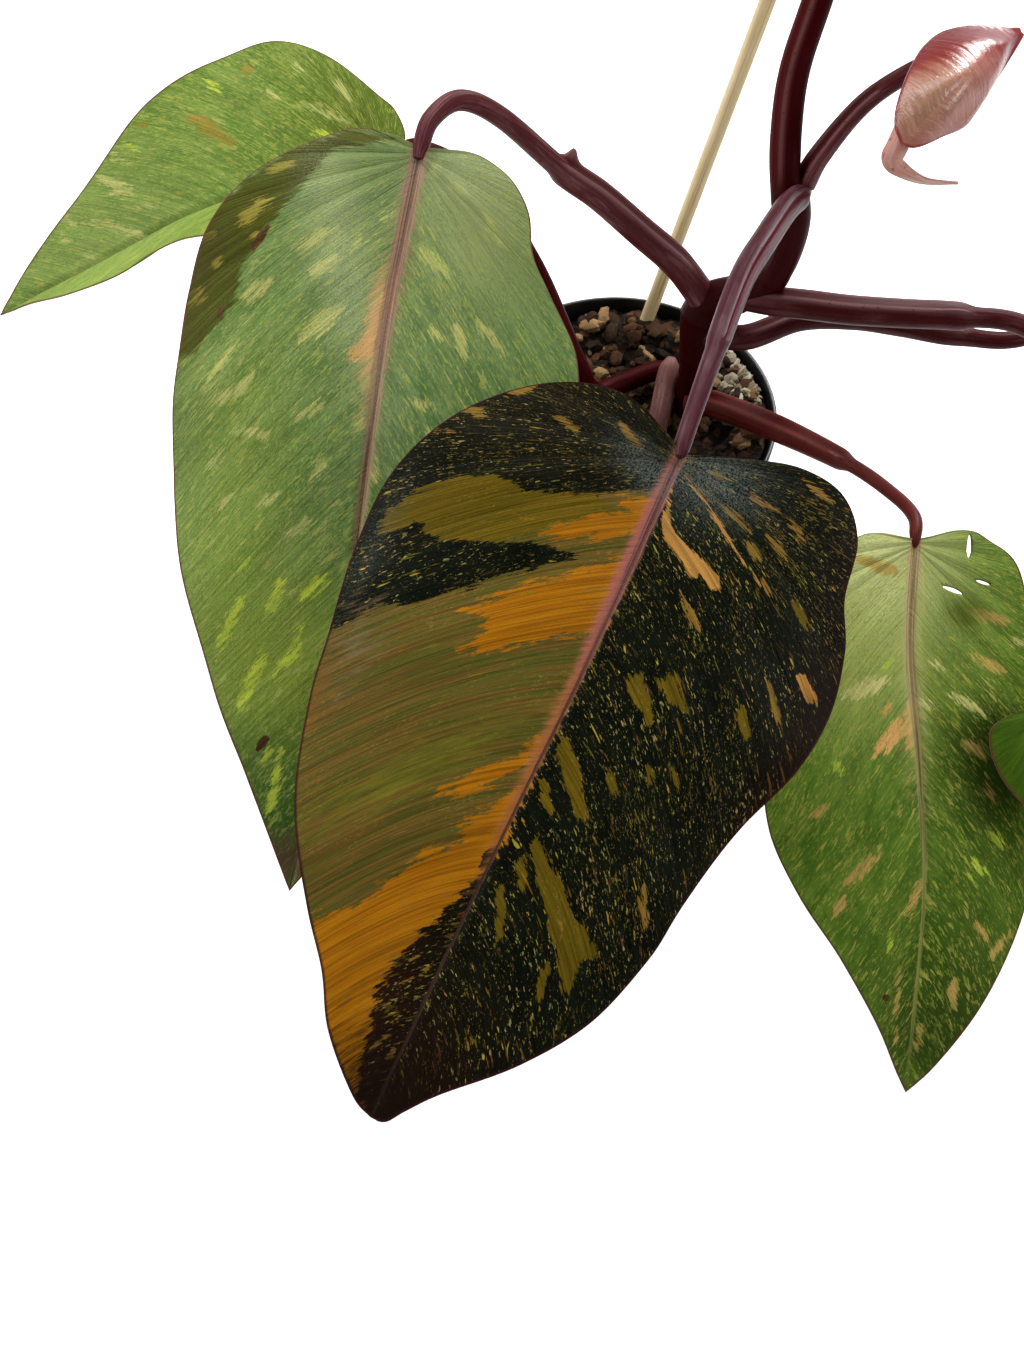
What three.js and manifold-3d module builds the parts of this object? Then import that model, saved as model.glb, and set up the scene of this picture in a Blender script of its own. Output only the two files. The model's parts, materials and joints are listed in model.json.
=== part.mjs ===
// Potted orange princess philodendron.
// Millimetres, +Z up. The origin is the middle of the pot's base, +X is the plant's right
// and -Y its front, where the two largest leaves hang over the rim.

import * as THREE from 'three';
import Module from 'manifold-3d';
import { mergeVertices } from 'three/addons/utils/BufferGeometryUtils.js';

const wasm = await Module();
wasm.setup();

// Gap kept between pieces that touch on the plant.
const CLEARANCE = 0.35;

const POT = {
  height: 115,
  rimRadius: 65.4,
  rimHeight: 11,
  rimEdge: 0.4,
  wall: 1.8,
  shoulderRadius: 61,
  baseRadius: 47.5,
  baseEdge: 1,
  floor: 2.5,
  holes: 6,
  holeRadius: 4,
  holeCircle: 34,
  segments: 48,
};

// The soil's lumps are waves of these lengths, and its edge drops by one lump.
const SOIL = { top: 103, lump: 2.4, longWave: 20, crossWave: 23, shortWave: 7.7, segments: 40, rings: 8 };

// Paths are centre lines. Each diameter entry is [share of the length, diameter].
const STEM = {
  path: [[31, 6, 88], [30, 7, 130], [28, 9, 160], [40, 4, 172], [48.5, -1, 183], [51, -3, 204], [47.5, -3, 226]],
  diameters: [[0, 14], [0.28, 15], [0.44, 15.5], [0.54, 14], [0.62, 14], [0.7, 11], [0.9, 10.5], [0.98, 8], [1, 4]],
};

const STAKE = {
  path: [[-9, 34.5, 20], [26, 64, 160], [61, 93.5, 300]],
  diameters: [[0, 6.5], [1, 5.8]],
};

const STUB = {
  path: [[14, -10, 97], [17, 2, 112], [21, 18, 125]],
  diameters: [[0, 8.5], [0.9, 8.5], [1, 6]],
};

// A sheathed petiole is wide up to the end of its sheath and slim from there to the blade.
const PETIOLES = {
  top_leaf: {
    path: [[47, -3, 212], [44, -5, 222], [42, 4, 238], [42.5, 13, 252], [46.5, 21, 269], [53, 31, 300],
      [59, 42, 332], [64.6, 54.6, 347.2]],
    diameters: [[0, 9], [0.15, 10], [0.5, 9], [0.55, 7.5], [1, 6]],
  },
  front_leaf: {
    path: [[51, -6, 223], [43, -16, 225], [33, -35, 228], [23, -55, 229.5], [10.5, -90, 231.5], [0, -120.5, 230.2]],
    diameters: [[0, 9.5], [0.35, 8.8], [0.66, 7.6], [0.69, 6.4], [0.9, 5.3], [1, 5.6]],
  },
  new_leaf: {
    path: [[50.5, -2, 223], [53.5, -0.5, 232], [64, 5, 245.3], [76.2, 8, 254], [94, 15, 258], [104, 16.8, 260.8], [108.2, 14.7, 263]],
    diameters: [[0, 8], [0.3, 6.4], [1, 4.8]],
  },
  left_leaf: {
    path: [[27, 9, 165], [15, 10.3, 180], [0, 11, 193.5], [-16, 11, 208.3], [-30, 9, 220.3], [-50, 3.5, 242.6],
      [-62.5, -3, 252.7], [-71, -12.5, 253], [-74, -18.5, 249.5]],
    diameters: [[0, 11.5], [0.35, 10.2], [0.52, 9.4], [0.54, 7], [0.8, 6.2], [1, 6.4]],
  },
  right_edge_leaf: {
    path: [[40, 3, 171.5], [50, -4.5, 175.5], [62, -9.3, 178], [76, -14, 180], [95, -18, 182], [112, -22, 184.5],
      [134, -28.5, 186], [152, -56, 187], [159, -98, 185], [151, -134, 172], [132, -156.5, 148.5]],
    diameters: [[0, 10.5], [0.1, 10.3], [0.31, 9.6], [0.33, 7], [1, 5]],
  },
  back_right_leaf: {
    path: [[30, 6, 150], [45, -1.5, 155], [65, 3.5, 159.5], [85, 2.5, 161], [103, -1.5, 161], [124, -7.5, 161.3],
      [147, -10.5, 163.3], [176, -2, 173], [203, 16, 185]],
    diameters: [[0, 10], [0.3, 9.2], [0.5, 8], [0.56, 6.6], [1, 5.2]],
  },
  right_leaf: {
    path: [[29, 1, 116], [38, -6, 122], [59.5, -28.5, 132.5], [79.2, -57, 146], [89, -77.3, 154.3], [92, -91.5, 160.3],
      [90.8, -100.5, 161.8]],
    diameters: [[0, 11], [0.35, 10.4], [0.58, 8.6], [0.61, 6.4], [1, 5.8]],
  },
  back_left_leaf: {
    path: [[29, 11, 111], [19, 22, 113], [1, 16, 112], [-12, 9, 115], [-20, 12, 130], [-37, 37, 156], [-59, 46, 188],
      [-80, 42, 205], [-88.6, 35.2, 206.6]],
    diameters: [[0, 9], [0.3, 8], [0.5, 7], [1, 5.4]],
  },
};

// A blade lies on its midrib, a curve from the petiole to the tip. face is the direction that
// its upper side looks in, at the base and at the tip. fold lifts each half from the midrib and
// droop bends it down again towards the margin, in degrees, as [left, right]. An outline lists
// [distance along the midrib, distance across], from the petiole round the lobe to the tip.
const BLADES = {
  front_leaf: {
    midrib: [[-0.5, -123, 229.5], [-24.5, -171, 206.5], [-51, -218.5, 179], [-87, -281.5, 132]],
    face: [[0, -0.55, 0.83], [-0.1, -0.75, 0.65]],
    fold: [12, 12],
    droop: [14, 14],
    halfWidth: 65,
    left: [[-3.5, 5.5], [-8, 20.5], [-5, 35.5], [4.5, 50.5], [19.5, 63], [39.5, 70.5], [62, 70.5], [85.5, 66.5],
      [104.5, 63.5], [129.5, 55.5], [154, 41], [169.5, 30], [185, 21.5], [201, 7.5]],
    right: [[-2, 5], [-5.5, 15], [-10, 31], [-8.5, 45], [1, 54], [17, 57.5], [29.5, 64.5], [45.5, 68], [64, 65.5],
      [84.5, 58.5], [111, 53], [129.5, 51], [152, 45], [171.5, 32], [189.5, 15.5], [199, 8.5], [205, 4.5]],
  },
  left_leaf: {
    midrib: [[-74.5, -20.2, 248.1], [-85, -68.5, 222.5], [-92.5, -111.5, 195], [-101, -157, 163], [-119, -212, 120]],
    face: [[0, -0.45, 0.9], [0, -0.8, 0.6]],
    fold: [8, 8],
    droop: [10, 10],
    halfWidth: 60,
    left: [[-2, 5], [-3, 11.5], [-2, 20.5], [2, 29], [15.5, 47], [34.5, 59], [53.5, 62], [72, 61.5], [91, 61],
      [115, 58], [142.5, 51], [175, 37.5], [200, 22], [221, 9]],
    right: [[-1, 3.5], [-1.5, 15.5], [1, 23.5], [5.5, 30.5], [13.5, 36.5], [25, 40], [35, 47], [49.5, 57],
      [60.5, 60.5], [73.5, 62.5], [92, 62.5], [111, 59], [150, 42.5], [188, 22], [219, 8]],
  },
  back_left_leaf: {
    midrib: [[-90, 34, 205.5], [-128, 31.5, 198.5], [-165.5, 28.5, 188], [-205, 20.5, 172], [-249.3, 11.6, 154]],
    face: [[0, 0.1, 0.99], [0, 0.1, 0.99]],
    fold: [38, 14],
    droop: [4, 0],
    halfWidth: 58,
    left: [[-6, 7.5], [-4, 17], [1, 23.5], [17.5, 40.5], [39, 52.5], [60, 52], [81.5, 44.5], [112, 30], [149, 12.5]],
    right: [[-3, 5], [-7, 16], [-3, 30], [10, 42], [30, 48], [48, 46.5], [62, 38], [79, 26.5], [92, 24], [105, 28],
      [118.5, 25.5], [134, 18], [153, 6]],
  },
  right_leaf: {
    midrib: [[90, -102.5, 161.5], [87.5, -136.5, 145.5], [91, -175, 125], [94, -209.5, 102], [92.5, -266, 57.5]],
    face: [[0, -0.45, 0.9], [0, -0.8, 0.6]],
    fold: [8, 8],
    droop: [10, 10],
    halfWidth: 55,
    left: [[-1, 5.5], [-1.5, 12.5], [0.5, 20], [10, 32.5], [23.5, 41.5], [39.5, 48.5], [56.5, 52], [73.5, 53], [97, 51],
      [122.5, 42], [145, 27.5], [169, 13], [186.5, 4.5]],
    right: [[-2, 6.5], [-4, 13], [-4, 19.5], [-1, 25], [4.5, 33.5], [15.5, 38.5], [38, 44], [65.5, 44.5], [92.5, 41],
      [111, 37], [140, 30.5], [162, 22], [184, 9]],
  },
  right_edge_leaf: {
    midrib: [[128.7, -159.7, 145.6], [157, -186, 135], [191.5, -217, 115], [234.5, -246, 85]],
    face: [[-0.1, -0.35, 0.93], [0.2, -0.7, 0.7]],
    fold: [10, 10],
    droop: [16, 16],
    halfWidth: 50,
    left: [[-5, 3], [-9.5, 14.5], [-7, 20.5], [3, 26], [15.5, 28], [33.5, 30], [62.5, 29], [95, 22], [125, 11]],
    right: [[-5, 4], [-9, 14], [-5, 23], [6, 29], [24, 32], [45, 32], [70, 28.5], [98, 20.5], [126, 10]],
  },
  back_right_leaf: {
    midrib: [[205, 17.2, 186], [238, 36, 185], [272, 56, 173], [300, 74, 148]],
    face: [[0, 0, 1], [0.6, 0.3, 0.7]],
    fold: [12, 12],
    droop: [14, 14],
    halfWidth: 50,
    left: [[-4, 5], [-8, 18], [-3, 32], [12, 40], [34, 43], [58, 38], [82, 27], [104, 13]],
    right: [[-4, 5], [-8, 18], [-3, 32], [12, 40], [34, 43], [58, 38], [82, 27], [104, 13]],
  },
  top_leaf: {
    midrib: [[65, 55.5, 348], [78, 96, 346], [93, 142, 328], [106, 184, 292]],
    face: [[0, 0, 1], [0.1, 0.6, 0.75]],
    fold: [12, 12],
    droop: [16, 16],
    halfWidth: 55,
    left: [[-4, 5], [-9, 20], [-4, 36], [12, 46], [38, 50], [68, 44], [98, 31], [126, 14]],
    right: [[-4, 5], [-9, 20], [-4, 36], [12, 46], [38, 50], [68, 44], [98, 31], [126, 14]],
  },
  new_leaf: {
    midrib: [[109, 13.5, 263.8], [91, -6.5, 265.5], [77, -21, 263.5], [67.5, -29, 256]],
    face: [[0.3, -0.47, 0.88], [0.3, -0.47, 0.88]],
    fold: [0, 0],
    droop: [40, 40],
    halfWidth: 22,
    left: [[2, 2.5], [8.5, 5], [14.5, 10.5], [20, 17], [29, 17.5], [40, 14.5], [52, 10], [59, 5.5]],
    right: [[2, 2], [13.5, 5], [23.5, 7.8], [32, 10.8], [39, 12], [49.5, 9.2], [56, 6.5], [60, 3.5]],
  },
};

// The new leaf's drip tip curls back under the blade.
const NEW_LEAF_TIP = {
  path: [[70, -22, 258], [68, -25, 252.5], [67.5, -25.5, 249.5], [70, -26, 246.5], [78.5, -28, 243.5], [89, -28.5, 243]],
  diameters: [[0, 6], [0.3, 6], [0.5, 4], [0.7, 2.2], [1, 1]],
};

// Blade mesh: rows run from the midrib to the margin along the side veins.
const VEIN = { rows: 20, steps: 4, lobeShare: 0.38, lobeRoots: 0.04, spread: 1.3, bow: 0.12, shortest: 0.2 };
const BLADE = { thickness: 0.9, ribDepth: 2.4, ribTaper: 0.75, sinus: [-0.5, 1.2], wave: 1.4, waveLength: 58 };

const STALK = { sides: 8, stepsPerSpan: 3 };

const COLOURS = {
  pot: { color: 0x0d0f10, roughness: 0.35 },
  soil: { color: 0x3a2a1c, roughness: 0.95 },
  bamboo: { color: 0xcdb887, roughness: 0.6 },
  stem: { color: 0x2c0d10, roughness: 0.5 },
  petiole: { color: 0x3f1218, roughness: 0.4 },
  darkBlade: { color: 0x2b2a14, roughness: 0.45 },
  greenBlade: { color: 0x50702a, roughness: 0.5 },
  newBlade: { color: 0xb4505a, roughness: 0.3 },
};

const vector = ([x, y, z = 0]) => new THREE.Vector3(x, y, z);
const curveThrough = (points) => new THREE.CatmullRomCurve3(points.map(vector), false, 'catmullrom', 0.5);
const radians = THREE.MathUtils.degToRad;

// Value of a [share, value] list at a share.
function valueAt(list, share) {
  for (let k = 1; k < list.length; k += 1) {
    const [from, low] = list[k - 1];
    const [to, high] = list[k];
    if (share <= to) {
      return THREE.MathUtils.lerp(low, high, (share - from) / (to - from));
    }
  }
  return list[list.length - 1][1];
}

function geometryOf(points, faces) {
  const geometry = new THREE.BufferGeometry();
  geometry.setAttribute('position', new THREE.Float32BufferAttribute(points.flatMap((p) => [p.x, p.y, p.z]), 3));
  geometry.setIndex(faces.flat());
  return geometry;
}

// Round stalk of changing diameter along a curve, closed at both ends.
function stalkGeometry({ path, diameters }, extra = 0) {
  const curve = curveThrough(path);
  const steps = (path.length - 1) * STALK.stepsPerSpan;
  const shares = new Set(diameters.map(([share]) => share));
  for (let k = 0; k <= steps; k += 1) {
    const share = k / steps;
    const near = diameters.some(([key]) => Math.abs(key - share) < 0.4 / steps);
    if (!near) {
      shares.add(share);
    }
  }
  const ordered = [...shares].sort((a, b) => a - b);
  const side = new THREE.Vector3(1, 0, 0);
  const start = curve.getTangentAt(0);
  if (Math.abs(start.x) > 0.8) {
    side.set(0, 0, 1);
  }
  side.addScaledVector(start, -side.dot(start)).normalize();
  const tangent = start.clone();
  const points = [];
  const faces = [];
  for (const share of ordered) {
    const next = curve.getTangentAt(share);
    side.applyQuaternion(new THREE.Quaternion().setFromUnitVectors(tangent, next));
    tangent.copy(next);
    const across = new THREE.Vector3().crossVectors(tangent, side);
    const centre = curve.getPointAt(share);
    const radius = valueAt(diameters, share) / 2 + extra;
    for (let k = 0; k < STALK.sides; k += 1) {
      const angle = (2 * Math.PI * k) / STALK.sides;
      points.push(centre.clone()
        .addScaledVector(side, radius * Math.cos(angle))
        .addScaledVector(across, radius * Math.sin(angle)));
    }
  }
  const rings = ordered.length;
  for (let i = 0; i < rings - 1; i += 1) {
    for (let k = 0; k < STALK.sides; k += 1) {
      const a = i * STALK.sides + k;
      const b = i * STALK.sides + ((k + 1) % STALK.sides);
      faces.push([a, b, b + STALK.sides], [a, b + STALK.sides, a + STALK.sides]);
    }
  }
  const last = (rings - 1) * STALK.sides;
  points.push(curve.getPointAt(0), curve.getPointAt(1));
  for (let k = 0; k < STALK.sides; k += 1) {
    const b = (k + 1) % STALK.sides;
    faces.push([points.length - 2, b, k], [points.length - 1, last + k, last + b]);
  }
  return geometryOf(points, faces);
}

// Upper surface of a blade as a function of distance along and across the midrib.
// side is -1 for the left half and 1 for the right half; depth is measured down from the surface.
function bladeSurface(blade) {
  const midrib = curveThrough(blade.midrib);
  const length = midrib.getLength();
  const [faceAtBase, faceAtTip] = blade.face.map(vector);
  const frameAt = (along) => {
    const share = THREE.MathUtils.clamp(along / length, 0, 1);
    const origin = midrib.getPointAt(share);
    const tangent = midrib.getTangentAt(share);
    if (along < 0) {
      origin.addScaledVector(tangent, along);
    }
    const up = faceAtBase.clone().lerp(faceAtTip, share);
    up.addScaledVector(tangent, -up.dot(tangent)).normalize();
    return { origin, up, right: new THREE.Vector3().crossVectors(up, tangent) };
  };
  const pointAt = (along, across, side, depth) => {
    const { origin, up, right } = frameAt(along);
    const half = side < 0 ? 0 : 1;
    const share = across / blade.halfWidth;
    const lift = radians(blade.fold[half] - blade.droop[half] * share);
    const wave = BLADE.wave * Math.sin((2 * Math.PI * along) / BLADE.waveLength + side) * share ** 2;
    return origin
      .addScaledVector(right, side * across * Math.cos(lift))
      .addScaledVector(up, across * Math.sin(lift) + wave - depth);
  };
  return { length, pointAt };
}

// Where on the midrib the side vein starts that ends at this share of the margin.
function veinRoot(share) {
  const past = Math.max(0, (share - VEIN.lobeShare) / (1 - VEIN.lobeShare));
  return VEIN.lobeRoots * share + (1 - VEIN.lobeRoots) * past ** VEIN.spread;
}

// Flat positions [along, across] of one half of a blade, in rows along the side veins.
function veinGrid(outline, length) {
  const margin = curveThrough([BLADE.sinus, ...outline, [length, 0]]);
  const rows = [];
  for (let i = 0; i < VEIN.rows; i += 1) {
    const share = i / VEIN.rows;
    const root = new THREE.Vector2(length * veinRoot(share), 0);
    const { x, y } = margin.getPointAt(share);
    const end = new THREE.Vector2(x, Math.max(y, VEIN.shortest));
    const bend = root.clone().lerp(end, 0.5);
    bend.x -= VEIN.bow * share * root.distanceTo(end);
    const vein = new THREE.QuadraticBezierCurve(root, bend, end);
    rows.push(Array.from({ length: VEIN.steps + 1 }, (_, j) => vein.getPoint(j / VEIN.steps)));
  }
  return rows;
}

function bladeGeometry(blade) {
  const { length, pointAt } = bladeSurface(blade);
  const points = [];
  const faces = [];
  const addPair = (along, across, side, depth) => {
    points.push(pointAt(along, across, side, 0), pointAt(along, across, side, depth));
    return points.length - 2;
  };
  const tip = addPair(length, 0, 1, BLADE.thickness);
  const ribs = veinGrid(blade.right, length).map((row, i) => {
    const taper = 1 - BLADE.ribTaper * (i / VEIN.rows);
    return addPair(row[0].x, 0, 1, Math.max(BLADE.ribDepth * taper, BLADE.thickness));
  });
  for (const side of [-1, 1]) {
    const grid = veinGrid(side < 0 ? blade.left : blade.right, length);
    const ids = grid.map((row, i) => row.map(({ x, y }, j) => (
      j === 0 ? ribs[i] : addPair(x, y, side, BLADE.thickness)
    )));
    // Upper vertices have the even number of their pair and lower ones the odd number.
    const addFace = (a, b, c) => {
      const upper = side > 0 ? [a, b, c] : [a, c, b];
      const lower = side > 0 ? [a + 1, c + 1, b + 1] : [a + 1, b + 1, c + 1];
      faces.push(upper, lower);
    };
    const addWall = (a, b) => {
      const [from, to] = side > 0 ? [b, a] : [a, b];
      faces.push([from, from + 1, to + 1], [from, to + 1, to]);
    };
    for (let j = 0; j < VEIN.steps; j += 1) {
      for (let i = 0; i < VEIN.rows - 1; i += 1) {
        addFace(ids[i][j], ids[i + 1][j], ids[i + 1][j + 1]);
        addFace(ids[i][j], ids[i + 1][j + 1], ids[i][j + 1]);
      }
      addFace(ids[VEIN.rows - 1][j], tip, ids[VEIN.rows - 1][j + 1]);
      addWall(ids[0][j], ids[0][j + 1]);
    }
    for (let i = 0; i < VEIN.rows - 1; i += 1) {
      addWall(ids[i][VEIN.steps], ids[i + 1][VEIN.steps]);
    }
    addWall(ids[VEIN.rows - 1][VEIN.steps], tip);
  }
  return geometryOf(points, faces);
}

function solidOf(geometry) {
  const bare = geometry.clone();
  bare.deleteAttribute('normal');
  bare.deleteAttribute('uv');
  const merged = mergeVertices(bare, 1e-4);
  return new wasm.Manifold(new wasm.Mesh({
    numProp: 3,
    vertProperties: new Float32Array(merged.attributes.position.array),
    triVerts: new Uint32Array(merged.index.array),
  }));
}

function geometryFrom(solid) {
  const { vertProperties, triVerts } = solid.getMesh();
  const geometry = new THREE.BufferGeometry();
  geometry.setAttribute('position', new THREE.BufferAttribute(new Float32Array(vertProperties), 3));
  geometry.setIndex(new THREE.BufferAttribute(new Uint32Array(triVerts), 1));
  return geometry;
}

// The largest piece that is left of a solid once its neighbours are cut away.
function carve(geometry, neighbours) {
  const left = neighbours.reduce((solid, other) => solid.subtract(solidOf(other)), solidOf(geometry));
  const pieces = left.decompose().sort((a, b) => b.volume() - a.volume());
  return geometryFrom(pieces[0]);
}

function potGeometry() {
  const { height, rimRadius, rimHeight, rimEdge, wall, shoulderRadius, baseRadius, baseEdge, floor } = POT;
  const shoulder = height - rimHeight;
  const profile = [
    [0, 0], [baseRadius - baseEdge, 0], [baseRadius, baseEdge],
    [shoulderRadius, shoulder - baseEdge], [rimRadius - baseEdge, shoulder], [rimRadius, shoulder + baseEdge],
    [rimRadius, height - rimEdge], [rimRadius - rimEdge, height], [rimRadius - wall, height],
    [rimRadius - wall - rimEdge, height - wall], [rimRadius - wall - 3 * rimEdge, shoulder + baseEdge],
    [shoulderRadius - wall, shoulder - 2 * baseEdge], [baseRadius - wall, floor], [0, floor],
  ];
  const wallGeometry = new THREE.LatheGeometry(profile.map(([r, z]) => new THREE.Vector2(r, z)), POT.segments);
  wallGeometry.rotateX(Math.PI / 2);
  const holes = Array.from({ length: POT.holes }, (_, k) => {
    const angle = (2 * Math.PI * (k + 0.5)) / POT.holes;
    const hole = new THREE.CylinderGeometry(POT.holeRadius, POT.holeRadius, 4 * floor, 12);
    hole.rotateX(Math.PI / 2);
    hole.translate(POT.holeCircle * Math.cos(angle), POT.holeCircle * Math.sin(angle), 0);
    return hole;
  });
  return carve(wallGeometry, holes);
}

// Height of the lumpy soil at a radius and an angle.
function soilHeight(radius, angle, edge) {
  const x = radius * Math.cos(angle);
  const y = radius * Math.sin(angle);
  const turns = (distance, length) => (2 * Math.PI * distance) / length;
  const large = Math.sin(1 + turns(x, SOIL.longWave)) * Math.cos(turns(y, SOIL.crossWave));
  const small = Math.sin(turns(x - y, SOIL.shortWave * Math.SQRT2));
  return SOIL.top + SOIL.lump * (0.5 * large + 0.3 * small - (radius / edge) ** 4);
}

function soilGeometry() {
  const inner = POT.shoulderRadius - POT.wall - CLEARANCE;
  const edge = inner - 0.6;
  const bottomRadius = POT.baseRadius - POT.wall - CLEARANCE - 0.1;
  const points = [new THREE.Vector3(0, 0, soilHeight(0, 0, edge))];
  const faces = [];
  const count = SOIL.segments;
  const ring = (radius, heightAt) => {
    for (let k = 0; k < count; k += 1) {
      const angle = (2 * Math.PI * k) / count;
      points.push(new THREE.Vector3(radius * Math.cos(angle), radius * Math.sin(angle), heightAt(angle)));
    }
  };
  for (let i = 1; i <= SOIL.rings; i += 1) {
    const radius = (edge * i) / SOIL.rings;
    ring(radius, (angle) => soilHeight(radius, angle, edge));
  }
  ring(bottomRadius, () => POT.floor + CLEARANCE);
  points.push(new THREE.Vector3(0, 0, POT.floor + CLEARANCE));
  for (let k = 0; k < count; k += 1) {
    const next = (k + 1) % count;
    faces.push([0, 1 + k, 1 + next]);
    for (let i = 0; i < SOIL.rings; i += 1) {
      const a = 1 + i * count;
      faces.push([a + k, a + count + k, a + count + next], [a + k, a + count + next, a + next]);
    }
    const last = 1 + SOIL.rings * count;
    faces.push([last + k, points.length - 1, last + next]);
  }
  return geometryOf(points, faces);
}

const plant = new THREE.Group();

function add(name, geometry, { color, roughness }) {
  const material = new THREE.MeshStandardMaterial({ color, roughness, metalness: 0 });
  const mesh = new THREE.Mesh(geometry, material);
  mesh.name = name;
  plant.add(mesh);
}

const clearOf = (stalk) => stalkGeometry(stalk, CLEARANCE);

const standing = [STEM, STAKE, STUB, PETIOLES.back_left_leaf].map(clearOf);
add('pot', potGeometry(), COLOURS.pot);
add('soil', carve(soilGeometry(), standing), COLOURS.soil);
add('stem', stalkGeometry(STEM), COLOURS.stem);
add('stake', stalkGeometry(STAKE), COLOURS.bamboo);
add('petiole_stub', carve(stalkGeometry(STUB), [clearOf(STEM)]), COLOURS.petiole);

// Each petiole is cut back to the stem and to the petioles made before it.
const clearances = [clearOf(STEM), clearOf(STUB)];
for (const [name, stalk] of Object.entries(PETIOLES)) {
  add(`${name}_petiole`, carve(stalkGeometry(stalk), clearances), COLOURS.petiole);
  clearances.push(clearOf(stalk));
}

const BLADE_COLOURS = { front_leaf: COLOURS.darkBlade, new_leaf: COLOURS.newBlade };
for (const [name, blade] of Object.entries(BLADES)) {
  let geometry = bladeGeometry(blade);
  if (name === 'new_leaf') {
    geometry = geometryFrom(solidOf(geometry).add(solidOf(stalkGeometry(NEW_LEAF_TIP))));
  }
  add(`${name}_blade`, carve(geometry, [clearOf(PETIOLES[name])]), BLADE_COLOURS[name] ?? COLOURS.greenBlade);
}

export default plant;
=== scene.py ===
"""Potted orange princess philodendron, dressed for rendering.

The plant's curves are the ones its solids are made from, in millimetres in the tables
below and in metres on every mesh. +Z is up and -Y is the plant's front.
"""

import json
import logging
import math
from collections.abc import Sequence
from dataclasses import dataclass, field, replace
from enum import Enum

import bmesh
import bpy
import numpy as np
from mathutils import Euler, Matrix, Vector, noise

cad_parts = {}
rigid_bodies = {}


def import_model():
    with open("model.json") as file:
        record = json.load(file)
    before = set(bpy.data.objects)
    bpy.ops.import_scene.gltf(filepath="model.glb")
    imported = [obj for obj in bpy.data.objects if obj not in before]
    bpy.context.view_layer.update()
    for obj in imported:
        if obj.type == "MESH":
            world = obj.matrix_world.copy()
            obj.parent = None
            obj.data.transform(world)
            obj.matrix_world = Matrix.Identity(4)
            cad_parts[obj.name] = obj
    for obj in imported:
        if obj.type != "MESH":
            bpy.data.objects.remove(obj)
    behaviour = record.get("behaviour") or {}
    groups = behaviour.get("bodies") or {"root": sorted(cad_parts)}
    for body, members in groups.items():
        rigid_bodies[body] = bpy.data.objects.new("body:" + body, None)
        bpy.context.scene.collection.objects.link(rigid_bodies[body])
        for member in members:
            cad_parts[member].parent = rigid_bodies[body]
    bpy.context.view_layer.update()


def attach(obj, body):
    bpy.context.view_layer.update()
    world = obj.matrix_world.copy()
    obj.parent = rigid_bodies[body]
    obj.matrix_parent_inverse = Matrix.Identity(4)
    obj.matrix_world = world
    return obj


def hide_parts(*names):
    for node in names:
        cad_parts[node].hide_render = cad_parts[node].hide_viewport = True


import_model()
LOG = logging.getLogger("philodendron")

MM = 0.001
BODY = "root"

Array = np.ndarray
Colour = tuple[float, float, float, float]
Place = Sequence[float]


class Half(Enum):
    """Half of a blade, seen from its upper side with the tip away from the viewer."""

    LEFT = -1
    RIGHT = 1


class Tone(Enum):
    """What a marking is painted with. The order is the order of painting."""

    SECTOR = "sector"
    SHADE = "shade"
    OLIVE = "olive"
    AMBER = "amber"
    DARK = "dark"
    CREAM = "cream"
    LIME = "lime"
    OCHRE = "ochre"
    SCAR = "scar"


class Layer(Enum):
    """Where a wash of colour lies on a blade."""

    GROUND = "under the flecks and markings"
    GLAZE = "over the markings"
    # Mostly painted sheen, speckled as if by dust, with a few small spots of the blade's own colour.
    BLOOM = "over everything, as fine dust"


def linear(code: str) -> Colour:
    """Turns a screen colour into the linear colour that shaders use.

    Args:
        code: Six hexadecimal digits after a hash sign.

    Returns:
        Red, green, blue and an alpha of one.
    """
    shares = [int(code[k : k + 2], 16) / 255 for k in (1, 3, 5)]
    curve = [s / 12.92 if s <= 0.04045 else ((s + 0.055) / 1.055) ** 2.4 for s in shares]
    return (*curve, 1.0)


def smooth_step(value: Array, low: float, high: float) -> Array:
    """Rises smoothly from 0 at low to 1 at high."""
    share = np.clip((value - low) / (high - low), 0, 1)
    return share * share * (3 - 2 * share)


def unit(vectors: Array) -> Array:
    """Scales vectors to length one."""
    return vectors / np.linalg.norm(vectors, axis=-1, keepdims=True)


@dataclass
class Curve:
    """Smooth curve through points, read by share of its length.

    Attributes:
        points: The points, in two or three coordinates.
        samples_per_span: Samples between one point and the next.
    """

    points: Sequence[Place]
    samples_per_span: int = 60

    def __post_init__(self) -> None:
        """Samples the curve and its direction."""
        points = np.array([(*p, 0.0)[:3] for p in self.points], float)
        first = 2 * points[0] - points[1]
        last = 2 * points[-1] - points[-2]
        padded = np.vstack([first, points, last])
        t = np.linspace(0, 1, self.samples_per_span, endpoint=False)[:, None]
        spans = []
        for a, b, c, d in zip(padded, padded[1:], padded[2:], padded[3:]):
            leave, arrive = (c - a) / 2, (d - b) / 2
            cubic = 2 * b - 2 * c + leave + arrive
            square = -3 * b + 3 * c - 2 * leave - arrive
            spans.append(((cubic * t + square) * t + leave) * t + b)
        self.samples = np.vstack([*spans, points[-1:]])
        steps = np.linalg.norm(np.diff(self.samples, axis=0), axis=1)
        self.distances = np.concatenate([[0], np.cumsum(steps)])
        self.length = float(self.distances[-1])
        self.directions = unit(np.gradient(self.samples, self.distances, axis=0))

    def _read(self, table: Array, share: Array) -> Array:
        """Reads a sampled table at shares of the length."""
        distance = np.clip(share, 0, 1) * self.length
        return np.stack([np.interp(distance, self.distances, column) for column in table.T], -1)

    def at(self, share: Array) -> Array:
        """Points at shares of the length."""
        return self._read(self.samples, share)

    def direction(self, share: Array) -> Array:
        """Unit directions at shares of the length."""
        return unit(self._read(self.directions, share))


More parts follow.
